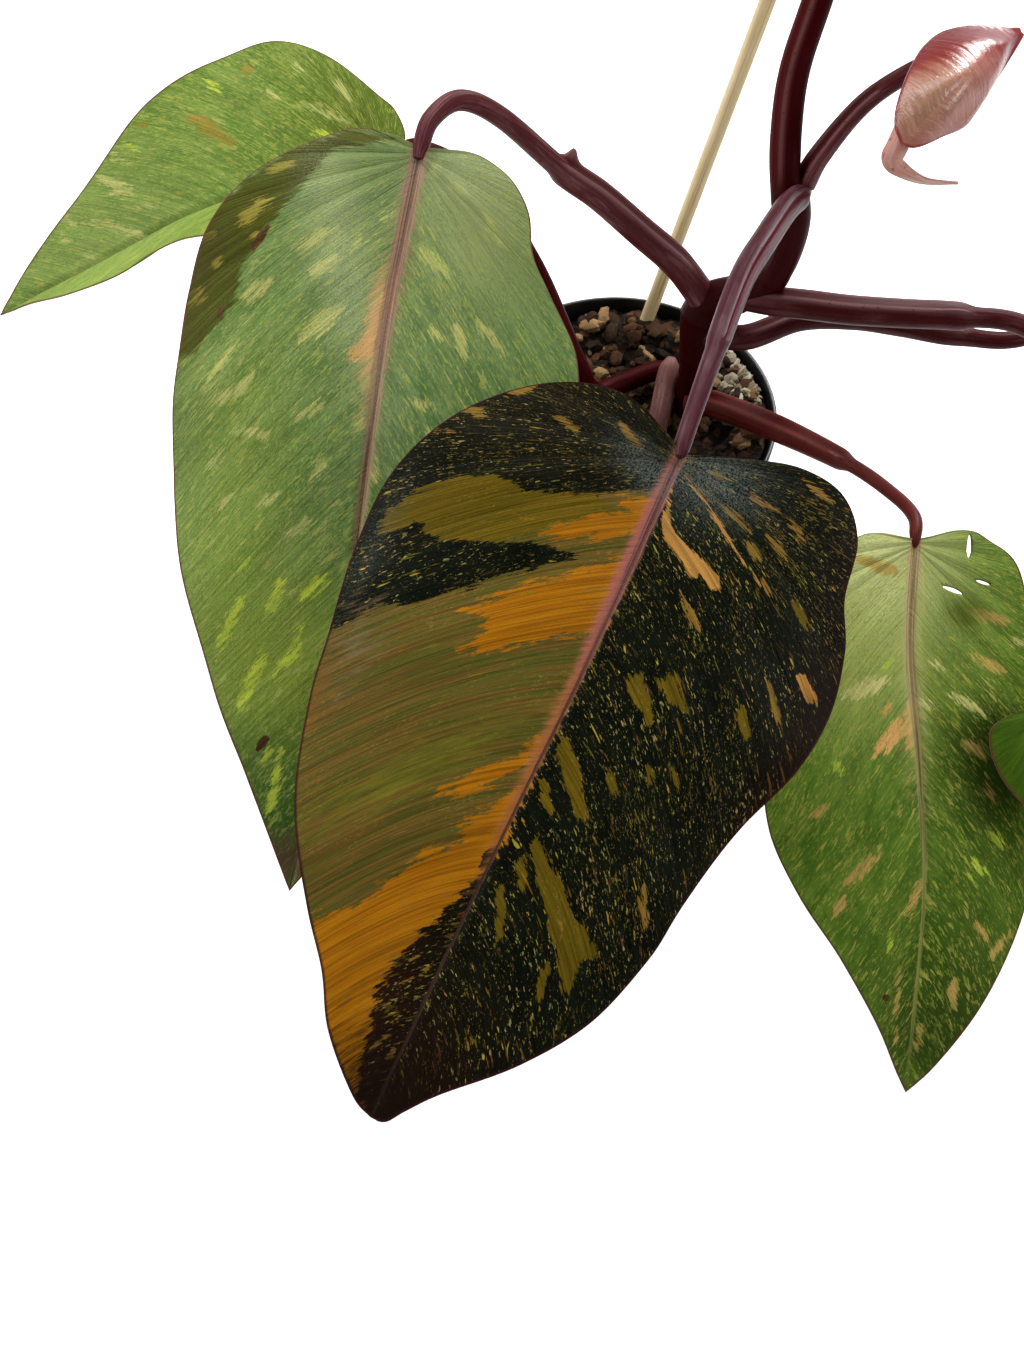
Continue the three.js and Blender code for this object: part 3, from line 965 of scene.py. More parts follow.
@dataclass
class Blade:
    """Leaf blade on a curved midrib.

    Attributes:
        name: Name of the leaf.
        midrib: Points from the petiole to the tip, in millimetres.
        face: Where the upper side looks, at the base and at the tip.
        fold: Lift of each half from the midrib, in degrees.
        droop: Bend of each half down to the margin, in degrees.
        half_width: Distance across at which the droop is whole, in millimetres.
        left: Outline of the left half as [along, across].
        right: Outline of the right half as [along, across].
        finish: Surface of the blade.
        slot: Material slot of the record.
        markings: Shapes of each tone.
        washes: Soft colours.
        slits: Tears through the blade.
        bow: How far the side veins bend to the tip, as a share of their length.
        plump: How far the middle of a leaf that is still rolled swells, in millimetres.
        rows: Rows of the mesh along the margin of each half.
        steps: Steps of the mesh along each side vein.
    """

    name: str
    midrib: Sequence[Place]
    face: tuple[Place, Place]
    fold: tuple[float, float]
    droop: tuple[float, float]
    half_width: float
    left: Sequence[Place]
    right: Sequence[Place]
    finish: LeafFinish
    slot: str = "green_blade"
    markings: dict[Tone, list[Patch | Splash]] = field(default_factory=dict)
    washes: Sequence[Wash] = ()
    slits: Sequence[Splash] = ()
    bow: float = 0.12
    plump: float = 0.0
    rows: int = 170
    steps: int = 34

    # Where the margin leaves the petiole, as [along, across].
    SINUS = (-0.5, 1.2)
    # The veins of the lobe share one short stretch of the midrib, and the others spread.
    LOBE_SHARE = 0.38
    LOBE_ROOTS = 0.04
    SPREAD = 1.3
    LEAST_WIDTH = 0.2
    # Wave of the margin, thickness of the blade and depth of the rib under it.
    WAVE = 1.4
    WAVE_LENGTH = 58.0
    RIB_DEPTH = 2.4
    RIB_WIDTH = 1.9
    BODY_THICKNESS = 0.9
    EDGE_THICKNESS = 0.5
    THIN_MARGIN = 6.0
    DEEPEST_DENT = -0.2
    # Upper side: a groove with shoulders, and creases along the side veins with pillows between.
    TAPER = 0.75
    GROOVE_DEPTH = 0.55
    GROOVE_WIDTH = 0.8
    SHOULDER_HEIGHT = 0.5
    SHOULDER_PLACE = 2.2
    SHOULDER_WIDTH = 1.2
    SIDE_VEINS = 11
    FIRST_VEIN = 0.35
    PILLOW_HEIGHT = 0.35
    PILLOW_ROUNDING = 0.7
    CREASE_DEPTH = 0.18
    CREASE_WIDTH = 0.05
    # Crinkles of a leaf that is still rolled. Its veins slant.
    SKEW = 0.36
    CRINKLE_HEIGHT = 0.07
    CRINKLE_LENGTH = 2.9
    # Corners of a tear, and how far its cutter reaches under and over the blade.
    TEAR_SIDES = 12
    TEAR_REACH = (-3.0, 4.0)

    def __post_init__(self) -> None:
        """Measures the midrib."""
        self.spine = Curve(self.midrib)

    def surface(self, along: Array, across: Array, half: Half, depth: Array | float = 0.0) -> Array:
        """Points of the blade.

        Args:
            along: Distances along the midrib, in millimetres.
            across: Distances from the midrib, in millimetres.
            half: Which half they are on.
            depth: How far under the upper side they are, in millimetres.

        Returns:
            The points, in millimetres.
        """
        share = np.clip(along / self.spine.length, 0, 1)
        tangent = self.spine.direction(share)
        origin = self.spine.at(share) + tangent * np.minimum(along, 0)[..., None]
        base, tip = (np.array(direction, float) for direction in self.face)
        up = base + (tip - base) * share[..., None]
        up = unit(up - tangent * (up * tangent).sum(-1, keepdims=True))
        right = np.cross(up, tangent)
        side = half.value
        pick = (side + 1) // 2
        out = across / self.half_width
        lift = np.radians(self.fold[pick] - self.droop[pick] * out)
        wave = self.WAVE * np.sin(2 * np.pi * along / self.WAVE_LENGTH + side) * out**2
        sideways = side * across * np.cos(lift)
        upward = across * np.sin(lift) + wave - depth
        return origin + right * sideways[..., None] + up * upward[..., None]

    def grid(self, half: Half) -> tuple[Array, Array, float]:
        """Flat positions of one half, in rows along the side veins.

        Args:
            half: Which half.

        Returns:
            Along and across, each [row, step], and the length of the margin.
        """
        outline = self.left if half is Half.LEFT else self.right
        margin = Curve([self.SINUS, *outline, (self.spine.length, 0)])
        share = np.arange(self.rows) / self.rows
        past = np.maximum(0, (share - self.LOBE_SHARE) / (1 - self.LOBE_SHARE))
        root = self.LOBE_ROOTS * share + (1 - self.LOBE_ROOTS) * past**self.SPREAD
        start = np.stack([root * self.spine.length, 0 * root], -1)
        end = margin.at(share)[:, :2]
        end[:, 1] = np.maximum(end[:, 1], self.LEAST_WIDTH)
        bend = (start + end) / 2
        bend[:, 0] -= self.bow * share * np.linalg.norm(start - end, axis=1)
        t = np.linspace(0, 1, self.steps + 1)[None, :, None]
        veins = (1 - t) ** 2 * start[:, None] + 2 * t * (1 - t) * bend[:, None] + t**2 * end[:, None]
        return veins[..., 0], veins[..., 1], margin.length

    def relief(self, along: Array, across: Array, row: Array, step: Array) -> Array:
        """Height of the upper side's veins and pillows, in millimetres.

        Args:
            along: Distances along the midrib.
            across: Distances from the midrib.
            row: Shares of the margin.
            step: Shares of the side vein.

        Returns:
            Heights over the smooth blade.
        """
        taper = 1 - self.TAPER * np.clip(along / self.spine.length, 0, 1)
        groove = -self.GROOVE_DEPTH * taper * np.exp(-((across / self.GROOVE_WIDTH) ** 2))
        beside = (across - self.SHOULDER_PLACE) / self.SHOULDER_WIDTH
        shoulder = self.SHOULDER_HEIGHT * taper * np.exp(-(beside**2))
        turn = row * self.SIDE_VEINS + self.FIRST_VEIN
        pillow = 0.5 - 0.5 * np.cos(2 * np.pi * turn)
        body = np.sin(np.pi * np.clip(step, 0, 1)) ** self.PILLOW_ROUNDING
        crease = -np.exp(-((((turn + 0.5) % 1 - 0.5) / self.CREASE_WIDTH) ** 2))
        return groove + shoulder + body * (self.PILLOW_HEIGHT * pillow + self.CREASE_DEPTH * crease)

    def _swell(self, along: Array, across: Array, step: Array) -> Array:
        """Height of the rolled body and its crinkles over the smooth blade, in millimetres.

        Args:
            along: Distances along the midrib.
            across: Distances from the midrib.
            step: Shares of the side vein.

        Returns:
            Heights over the smooth blade.
        """
        root = along[:, :1] / self.spine.length
        body = np.cos(np.pi / 2 * step) * smooth_step(root, 0, 0.35) * (1 - smooth_step(root, 0.6, 1))
        turn = 2 * np.pi * (along + self.SKEW * across) / self.CRINKLE_LENGTH + 1.4 * np.sin(across / 3.0)
        crinkle = np.sin(turn) * np.sin(np.pi * step) * np.sin(along / 6.5) ** 2
        return self.plump * body + self.CRINKLE_HEIGHT * crinkle

    def _upper(self) -> tuple[Array, Array, dict[str, Array], dict[Half, Array]]:
        """Lays out the upper side.

        Returns:
            Points in millimetres, their flat positions as [along, across], their numbers, and
            the vein chart of each half.
        """
        rows, steps = self.rows, self.steps
        count = rows * (1 + 2 * steps) + 1
        points = np.zeros((count, 3))
        flat = np.zeros((count, 2))
        edge = np.zeros(count)
        veins = {half: np.zeros((count, 2)) for half in Half}
        heights = np.zeros(count)
        row = np.repeat((np.arange(rows) / rows)[:, None], steps + 1, axis=1)
        step = np.repeat((np.arange(steps + 1) / steps)[None, :], rows, axis=0)
        for half in Half:
            along, across, margin = self.grid(half)
            ids = self.ids(half)
            side = half.value * across
            reach = np.hypot(along - along[:, :1], across)
            if self.plump:
                height = self._swell(along, across, step)
                veins[half][ids] = np.stack([along + self.SKEW * across, side], -1)
                veins[half][-1] = (self.spine.length, 0)
            else:
                height = self.relief(along, across, row, step)
                veins[half][ids] = np.stack([row * margin, half.value * reach], -1)
                veins[half][-1] = (margin, 0)
            points[ids] = self.surface(along, across, half, -height)
            heights[ids] = height
            flat[ids] = np.stack([along, side], -1)
            edge[ids] = (1 - step) * reach[:, -1:]
        tip = np.array([self.spine.length])
        points[-1] = self.surface(tip, 0 * tip, Half.RIGHT)[0]
        flat[-1] = (self.spine.length, 0)
        numbers = {
            "edge": edge,
            "rib": np.abs(flat[:, 1]),
            "along": np.clip(flat[:, 0] / self.spine.length, 0, 1),
            "height": heights,
        }
        for tone, shapes in self.markings.items():
            numbers[tone.value] = np.max([shape.depth(flat) for shape in shapes], axis=0)
        for k, wash in enumerate(self.washes):
            amount = np.sum([tint.amount(flat) for tint in wash.tints], axis=0)
            numbers[f"wash_{k}"] = np.clip(amount, 0, 1)
        return points, flat, numbers, veins

    def ids(self, half: Half) -> Array:
        """Numbers of the upper side's points. Both halves share the midrib's.

        Args:
            half: Which half.

        Returns:
            Point numbers, [row, step].
        """
        rows, steps = self.rows, self.steps
        start = rows + (rows * steps if half is Half.RIGHT else 0)
        body = start + np.arange(rows * steps).reshape(rows, steps)
        return np.hstack([np.arange(rows)[:, None], body])

    def _lower(self, flat: Array, numbers: dict[str, Array]) -> Array:
        """Works out the lower side under the upper one.

        Args:
            flat: Flat positions of the upper side's points, as [along, across].
            numbers: Numbers of the same points.

        Returns:
            Points of the lower side, in millimetres.
        """
        taper = 1 - self.TAPER * numbers["along"]
        inner = smooth_step(numbers["edge"], 0, self.THIN_MARGIN)
        body = self.EDGE_THICKNESS + (self.BODY_THICKNESS - self.EDGE_THICKNESS) * inner
        keel = self.RIB_DEPTH * taper * np.exp(-((numbers["rib"] / self.RIB_WIDTH) ** 2))
        keel = keel * smooth_step(numbers["edge"], -0.5, 2)
        depth = np.maximum(body, keel) + np.maximum(numbers["height"], self.DEEPEST_DENT)
        lower = np.zeros((len(flat), 3))
        for half in Half:
            mine = flat[:, 1] * half.value >= 0
            lower[mine] = self.surface(flat[mine, 0], np.abs(flat[mine, 1]), half, depth[mine])
        return lower

    def _faces(self, count: int) -> tuple[list[tuple[int, ...]], list[Half]]:
        """Faces of the closed blade and the half that each is on.

        Args:
            count: Number of points on one side.

        Returns:
            Faces as point numbers, and halves.
        """
        faces: list[tuple[int, ...]] = []
        halves: list[Half] = []
        tip = count - 1
        for half in Half:
            ids = self.ids(half)
            quads = np.stack([ids[:-1, :-1], ids[1:, :-1], ids[1:, 1:], ids[:-1, 1:]], -1).reshape(-1, 4)
            last = ids[-1]
            ends = [(int(a), tip, int(b)) for a, b in zip(last, last[1:])]
            border = np.concatenate([ids[0, :-1], ids[:, -1], [tip]])
            upper = [*map(tuple, quads.tolist()), *ends]
            walls = [(b, b + count, a + count, a) for a, b in zip(border.tolist(), border.tolist()[1:])]
            if half is Half.LEFT:
                upper = [face[::-1] for face in upper]
                walls = [face[::-1] for face in walls]
            lower = [tuple(k + count for k in face[::-1]) for face in upper]
            made = [*upper, *lower, *walls]
            faces += made
            halves += [half] * len(made)
        return faces, halves

    def _cut_slits(self, piece: bpy.types.Object) -> None:
        """Cuts the tears through the blade.

        Args:
            piece: The blade.
        """
        count = self.TEAR_SIDES
        for slit in self.slits:
            start, end = np.array(slit.start), np.array(slit.end)
            line = end - start
            across = unit(np.array([-line[1], line[0]]))
            turn = np.linspace(0, 2 * np.pi, count, endpoint=False)
            ring = start + np.outer(0.5 - 0.5 * np.cos(turn), line)
            ring = ring + np.outer(slit.half_width * np.sin(turn), across)
            half = Half.RIGHT if ring[0, 1] > 0 else Half.LEFT
            along, away = ring[:, 0], np.abs(ring[:, 1])
            ends = [self.surface(along, away, half, np.full(count, depth)) for depth in self.TEAR_REACH]
            walls = [(k, (k + 1) % count, (k + 1) % count + count, k + count) for k in range(count)]
            faces = [tuple(range(count))[::-1], tuple(range(count, 2 * count)), *walls]
            cutter = Piece("slit_cutter", np.vstack(ends) * MM, faces).build(piece.data.materials[0])
            mend = bmesh.new()
            mend.from_mesh(cutter.data)
            bmesh.ops.recalc_face_normals(mend, faces=mend.faces)
            mend.to_mesh(cutter.data)
            mend.free()
            cut_away(piece, cutter)

    def build(self) -> bpy.types.Object:
        """Makes the blade and puts it in place of its solid.

        Returns:
            The blade.
        """
        upper, flat, numbers, veins = self._upper()
        lower = self._lower(flat, numbers)
        count = len(upper)
        faces, halves = self._faces(count)
        corners = np.concatenate([np.array(face) for face in faces])
        right = np.repeat([half is Half.RIGHT for half in halves], [len(face) for face in faces])
        tables = {half: np.vstack([chart, chart]) for half, chart in veins.items()}
        vein_chart = np.where(right[:, None], tables[Half.RIGHT][corners], tables[Half.LEFT][corners])
        numbers.pop("height")
        numbers = {key: np.concatenate([values, values]) for key, values in numbers.items()}
        numbers["under"] = np.repeat([0.0, 1.0], count)
        piece = Piece(
            f"{self.name}_surface",
            np.vstack([upper, lower]) * MM,
            faces,
            numbers,
            {"veins": vein_chart, "flat": np.vstack([flat, flat])},
        )
        made = piece.build(self.finish.material(list(self.markings), self.washes))
        self._cut_slits(made)
        settle(made, self.slot, f"{self.name}_blade")
        return made


@dataclass(frozen=True)
class Sheath:
    """Open channel along the side of a petiole that clasps what grew before it.

    Attributes:
        start: Share of the length where it opens.
        end: Share of the length where it ends.
        depth: Depth of the channel as a share of the radius.
        lip: Height of its edges as a share of the radius.
        ear: Extra height of the free end of one edge.
        width: Half angle of the channel, in degrees.
    """

    start: float
    end: float
    depth: float = 0.18
    lip: float = 0.05
    ear: float = 0.5
    width: float = 34.0


@dataclass
class Stalk:
    """Petiole, stem or stake along a curve.

    Attributes:
        name: Name of the stalk, which is also its solid's, unless it stands for another.
        path: Centre line, in millimetres.
        diameters: Pairs of share and diameter, in millimetres.
        finish: Skin of the stalk.
        slot: Material slot of the record.
        opening: Direction that the channel looks in.
        sheath: The channel, if it has one.
        rings: Pairs of share and extra radius share for the rings of old leaves.
        sides: Corners of each section.
        spacing: Distance between sections, in millimetres.
        flatten: Width over height of the section.
        stands_for: Solid that it replaces, if not its own.
    """

    name: str
    path: Sequence[Place]
    diameters: Sequence[tuple[float, float]]
    finish: StalkFinish | CaneFinish
    slot: str = "petiole"
    opening: Place = (0, 0, 1)
    sheath: Sheath | None = None
    rings: Sequence[tuple[float, float]] = ()
    sides: int = 40
    spacing: float = 1.6
    flatten: float = 1.0
    stands_for: str = ""

    # Distances that round the form off, in millimetres.
    ROUNDING = 1.5
    RING_WIDTH = 1.6
    CAP_HEIGHT = 0.3
    # Stretches over which a sheath opens, ends and grows its ear, as shares of the length.
    OPENING_FADE = 0.03
    END_FADE = 0.008
    EAR_PLACE = 0.012
    EAR_LENGTH = 0.022

    def __post_init__(self) -> None:
        """Measures the centre line."""
        self.curve = Curve(self.path)

    def _radius(self, share: Array) -> Array:
        """Works out the radius, with its steps rounded and the rings on it.

        Args:
            share: Shares of the length.

        Returns:
            The radius there, in millimetres.
        """
        keys = np.array(self.diameters, float)
        spread = np.linspace(-self.ROUNDING, self.ROUNDING, 7) / max(self.curve.length, 1)
        nearby = [np.interp(share + shift, keys[:, 0], keys[:, 1]) for shift in spread]
        radius = np.mean(nearby, axis=0) / 2
        for centre, swell in self.rings:
            away = (share - centre) * self.curve.length
            radius = radius * (1 + swell * np.exp(-((away / self.RING_WIDTH) ** 2)))
        return radius

    def _frames(self, share: Array) -> tuple[Array, Array]:
        """Works out how the sections stand, without a twist.

        Args:
            share: Shares of the length.

        Returns:
            Directions of the opening and of the side there.
        """
        tangents = self.curve.direction(share)
        up = np.array(self.opening, float)
        ups = []
        for tangent in tangents:
            up = unit(up - tangent * (up @ tangent))
            ups.append(up)
        return np.array(ups), np.cross(tangents, np.array(ups))

    def _open(self, radius: Array, share: Array, turn: Array) -> tuple[Array, Array, Array]:
        """Opens the sheath's channel in the sections.

        Args:
            radius: Radius of the closed stalk, [section, corner].
            share: Shares of the length of the sections.
            turn: Angles of the corners from the opening.

        Returns:
            The radius with the channel, and how much of the channel and of its lips is there.
        """
        sheath = self.sheath
        width = math.radians(sheath.width)
        opened = smooth_step(share, sheath.start - self.OPENING_FADE, sheath.start + self.OPENING_FADE)
        opened = opened * (1 - smooth_step(share, sheath.end - self.END_FADE, sheath.end + self.END_FADE))
        channel = opened[:, None] * np.exp(-((turn / (0.75 * width)) ** 4))[None, :]
        lip = opened[:, None] * np.exp(-(((np.abs(turn) - width) / (0.3 * width)) ** 2))[None, :]
        near_end = np.exp(-(((share - sheath.end + self.EAR_PLACE) / self.EAR_LENGTH) ** 2))
        ear = near_end[:, None] * (turn > 0)[None, :]
        radius = radius * (1 - sheath.depth * channel + (sheath.lip + sheath.ear * ear) * lip)
        return radius, channel, lip

    def piece(self) -> Piece:
        """Works out the mesh.

        Returns:
            The mesh, not yet in the scene.
        """
        count = max(8, int(self.curve.length / self.spacing))
        share = np.linspace(0, 1, count)
        up, side = self._frames(share)
        turn = np.linspace(-np.pi, np.pi, self.sides, endpoint=False)
        radius = np.repeat(self._radius(share)[:, None], self.sides, axis=1)
        channel = lip = np.zeros_like(radius)
        if self.sheath:
            radius, channel, lip = self._open(radius, share, turn)
        centre = self.curve.at(share)
        rim_up = radius * np.cos(turn)[None, :] / self.flatten**0.5
        rim_side = radius * np.sin(turn)[None, :] * self.flatten**0.5
        points = centre[:, None] + up[:, None] * rim_up[..., None] + side[:, None] * rim_side[..., None]
        length = share * self.curve.length
        mean = float(np.mean(radius))
        skin = np.stack(np.broadcast_arrays(turn[None, :] * mean, length[:, None]), -1)
        first, last = self.curve.direction(np.array([0.0, 1.0])) * self.CAP_HEIGHT
        caps = [centre[0] - first, centre[-1] + last]
        chart = np.vstack([skin.reshape(-1, 2), [0, 0], [0, self.curve.length]])
        return Piece(
            f"{self.name}_surface",
            np.vstack([points.reshape(-1, 3), *caps]) * MM,
            closed_rings(count, self.sides),
            {"channel": np.append(channel.ravel(), [0, 0]), "lip": np.append(lip.ravel(), [0, 0])},
            {"skin": chart},
        )

    def build(self) -> bpy.types.Object:
        """Makes the stalk and puts it in place of its solid.

        Returns:
            The stalk.
        """
        made = self.piece().build(self.finish.material())
        settle(made, self.slot, self.stands_for or self.name)
        return made


@dataclass
class Pot:
    """Tapered nursery pot with a turned rim and drainage holes.

    Attributes:
        height: Height in millimetres.
        rim_radius: Radius of the rim's outside.
        rim_height: Height of the rim band.
        shoulder_radius: Radius of the wall under the rim.
        base_radius: Radius of the base.
        wall: Thickness of the wall.
        floor: Thickness of the floor.
        holes: Number of drainage holes.
        hole_radius: Radius of a hole.
        hole_circle: Radius of the circle that the holes are on.
        finish: Plastic of the pot.
        sides: Corners of each ring.
    """

    height: float = 115
    rim_radius: float = 65.4
    rim_height: float = 11
    shoulder_radius: float = 61
    base_radius: float = 47.5
    wall: float = 1.8
    floor: float = 2.5
    holes: int = 6
    hole_radius: float = 4
    hole_circle: float = 34
    finish: PotFinish = PotFinish()
    sides: int = 144

    def _profile(self) -> list[tuple[float, float]]:
        """Draws half a section, with its corners rounded.

        Returns:
            Radius and height of points from the middle of the base round the rim to the floor.
        """
        shoulder = self.height - self.rim_height
        lip = self.wall / 2
        across, up = self.rim_radius - lip, self.height - lip
        turn = np.linspace(0, np.pi, 7)
        rolled = [(across + lip * math.cos(a), up + lip * math.sin(a)) for a in turn]
        return [
            (0, 0),
            (self.base_radius - 1.2, 0),
            (self.base_radius - 0.4, 0.3),
            (self.base_radius, 1.2),
            (self.shoulder_radius - 0.4, shoulder - 2),
            (self.shoulder_radius, shoulder - 0.8),
            (self.rim_radius - 1, shoulder),
            (self.rim_radius - 0.2, shoulder + 0.4),
            (self.rim_radius, shoulder + 1.2),
            *rolled,
            (self.rim_radius - self.wall - 0.8, shoulder + 1),
            (self.shoulder_radius - self.wall, shoulder - 2),
            (self.base_radius - self.wall, self.floor),
            (0, self.floor),
        ]

    def build(self) -> bpy.types.Object:
        """Makes the pot, cuts its holes and puts it in place of its solid.

        Returns:
            The pot.
        """
        profile = self._profile()
        turn = np.linspace(0, 2 * np.pi, self.sides, endpoint=False)
        rings = profile[1:-1]
        body = [(r * np.cos(a), r * np.sin(a), z) for r, z in rings for a in turn]
        points = np.array([*body, (0, 0, profile[0][1]), (0, 0, profile[-1][1])]) * MM
        faces = closed_rings(len(rings), self.sides)
        made = Piece("pot_surface", points, faces, sharp_angle=35).build(self.finish.material())
        for k in range(self.holes):
            angle = 2 * math.pi * (k + 0.5) / self.holes
            place = Vector((math.cos(angle), math.sin(angle), 0)) * self.hole_circle * MM
            bpy.ops.mesh.primitive_cylinder_add(
                vertices=32, radius=self.hole_radius * MM, depth=4 * self.floor * MM, location=place
            )
            cut_away(made, bpy.context.object)
        settle(made, "pot", "pot")
        return made


@dataclass(frozen=True)
class Heap:
    """Loose chips lying on the soil.

    Attributes:
        name: Name of the piece.
        count: Number of chips.
        size: Smallest and largest length, in millimetres.
        slim: Smallest and largest thickness as a share of the length.
        centre: Middle of the heap, in millimetres.
        spread: Radius of the heap.
        sunk: How deep the chips lie, as a share of their thickness.
        finish: Surface of the chips.
        seed: Seed of the draw.
    """

    name: str
    count: int
    size: tuple[float, float]
    slim: tuple[float, float]
    centre: tuple[float, float]
    spread: float
    sunk: float
    finish: ChipFinish
    seed: int


@dataclass
class Soil:
    """Lumpy bark mix in the pot, with loose chips on top.

    Attributes:
        top: Height of the soil, in millimetres.
        lump: Height of the lumps.
        bank: Extra height of the mix where it is banked up against the wall.
        flare: How far the bank spreads over the shoulder of the pot.
        bank_side: Direction of the bank from the middle, in degrees from the plant's right.
        radius: Radius at the top.
        base_radius: Radius at the pot's floor.
        base: Height of the underside.
        heaps: Loose chips.
        finish: Surface of the mix.
        rings: Rings of points on the top.
        sides: Points on each ring.
    """

    top: float = 103
    lump: float = 2.4
    bank: float = 10.0
    flare: float = 3.6
    bank_side: float = 40.0
    radius: float = 58.4
    base_radius: float = 45.2
    base: float = 2.85
    heaps: Sequence[Heap] = ()
    finish: SoilFinish = SoilFinish()
    rings: int = 56
    sides: int = 180

    # Lengths of the lumps, and radii between which the bank rises, in millimetres.
    LONG_WAVE = 20.0
    CROSS_WAVE = 23.0
    SHORT_WAVE = 7.7
    BANK_RADII = (34, 57)
    # Crumbs: their height, and how many there are in a millimetre.
    CRUMB_HEIGHT = 1.6
    CRUMB_RATE = 0.35
    # Chips: facets of each, how deep they cut, shares of the length, tilt and roughness.
    FACETS = 7
    FACET_REACH = 0.78
    CHIP_WIDTH = (0.45, 0.8)
    CHIP_TILT = 0.35
    CHIP_ROUGHNESS = 0.1

    def _facing(self, angle: Array) -> Array:
        """How far the mix is banked up at angles round the pot."""
        return smooth_step(0.5 + 0.5 * np.cos(angle - math.radians(self.bank_side)), 0.35, 0.85)

    def height(self, x: Array, y: Array) -> Array:
        """Height of the soil at places in the pot, in millimetres.

        Args:
            x: Places to the plant's right of the middle.
            y: Places behind the middle.

        Returns:
            Heights over the underside of the pot.
        """
        large = np.sin(1 + 2 * np.pi * x / self.LONG_WAVE) * np.cos(2 * np.pi * y / self.CROSS_WAVE)
        small = np.sin(2 * np.pi * (x - y) / (self.SHORT_WAVE * math.sqrt(2)))
        fall = (np.hypot(x, y) / self.radius) ** 4
        bank = self.bank * smooth_step(np.hypot(x, y), *self.BANK_RADII) * self._facing(np.arctan2(y, x))
        return self.top + bank + self.lump * (0.5 * large + 0.3 * small - fall)

    def _bed(self) -> bpy.types.Object:
        """Makes the solid mix.

        Returns:
            The mix.
        """
        turn = np.linspace(0, 2 * np.pi, self.sides, endpoint=False)
        share = np.linspace(0, 1, self.rings + 1)[1:, None] ** 0.8
        radii = share * (self.radius + self.flare * self._facing(turn) * share**6)
        x = radii * np.cos(turn)
        y = radii * np.sin(turn)
        z = self.height(x, y)
        places = zip(x.ravel(), y.ravel())
        crumbs = [noise.noise(Vector((a, b, 0.0)) * self.CRUMB_RATE) for a, b in places]
        z = z + np.array(crumbs).reshape(z.shape) * self.CRUMB_HEIGHT
        top = np.stack([x, y, z], -1).reshape(-1, 3)
        walls = [(self.radius - 0.4, self.top - 5), (self.base_radius, self.base)]
        lower = [
            np.stack([r * np.cos(turn), r * np.sin(turn), np.full(self.sides, height)], -1)
            for r, height in walls
        ]
        middle = [(0, 0, float(self.height(np.array(0.0), np.array(0.0)))), (0, 0, self.base)]
        points = np.vstack([top, *lower, middle]) * MM
        faces = closed_rings(self.rings + len(walls), self.sides, turned=True)
        return Piece("soil_bed", points, faces, sharp_angle=80).build(self.finish.material())

    def _chips(self, heap: Heap) -> bpy.types.Object:
        """Makes one heap of chips, each a torn lump of its own shape.

        Args:
            heap: The heap.

        Returns:
            Its chips as one piece.
        """
        draw = np.random.default_rng(heap.seed)
        lump = bmesh.new()
        bmesh.ops.create_icosphere(lump, subdivisions=2, radius=1.0)
        base = np.array([vertex.co for vertex in lump.verts])
        corners = np.array([[vertex.index for vertex in face.verts] for face in lump.faces])
        lump.free()
        points, faces, tones = [], [], []
        for _ in range(heap.count):
            length = draw.uniform(*heap.size)
            slim = draw.uniform(*heap.slim)
            shape = np.array([1, draw.uniform(*self.CHIP_WIDTH), slim]) * length / 2
            facets = unit(draw.normal(size=(self.FACETS, 3)))
            reach = np.minimum(1, np.min(self.FACET_REACH / np.maximum(base @ facets.T, 0.3), axis=1))
            tilt = [draw.normal(0, self.CHIP_TILT) for _ in range(2)]
            turn = Euler((*tilt, draw.uniform(0, 2 * np.pi)))
            rough = 1 + self.CHIP_ROUGHNESS * draw.normal(size=(len(base), 1))
            chip = (base * reach[:, None] * rough * shape) @ np.array(turn.to_matrix()).T
            angle = draw.uniform(0, 2 * np.pi)
            away = heap.spread * math.sqrt(draw.uniform(0, 1))
            x = heap.centre[0] + away * math.cos(angle)
            y = heap.centre[1] + away * math.sin(angle)
            spill = self.flare * float(self._facing(np.array(math.atan2(y, x))))
            limit = self.radius + spill - length / 2
            pull = min(1.0, limit / max(math.hypot(x, y), 1e-6))
            x, y = x * pull, y * pull
            z = float(self.height(np.array(x), np.array(y))) + slim * length * (0.5 - heap.sunk)
            faces.append(corners + len(base) * len(points))
            points.append(chip + (x, y, z))
            tones.append(np.full(len(base), draw.uniform(0, 1)))
        made = Piece(
            heap.name,
            np.vstack(points) * MM,
            [tuple(face) for face in np.vstack(faces).tolist()],
            {"tone": np.concatenate(tones)},
            sharp_angle=38,
        )
        return made.build(heap.finish.material())

    def build(self) -> list[bpy.types.Object]:
        """Makes the mix and its loose chips.

        Returns:
            The mix and each heap.
        """
        bed = self._bed()
        settle(bed, "soil", "soil")
        heaps = [self._chips(heap) for heap in self.heaps]
        for made in heaps:
            settle(made, "soil")
        return [bed, *heaps]


@dataclass(frozen=True)
class Lamp:
    """Square, soft white light.

    Attributes:
        name: Name of the light.
        place: Where it is, in metres.
        target: Point that it looks at.
        size: Its side, in metres.
        power: Its power, in watts.
    """

    name: str
    place: Place
    target: Place
    size: float
    power: float

    def build(self) -> None:
        """Makes the light."""
        data = bpy.data.lights.new(self.name, "AREA")
        data.size = self.size
        data.energy = self.power
        made = bpy.data.objects.new(self.name, data)
        made.location = self.place
        aim = Vector(self.target) - Vector(self.place)
        made.rotation_euler = aim.to_track_quat("-Z", "Y").to_euler()
        bpy.context.scene.collection.objects.link(made)


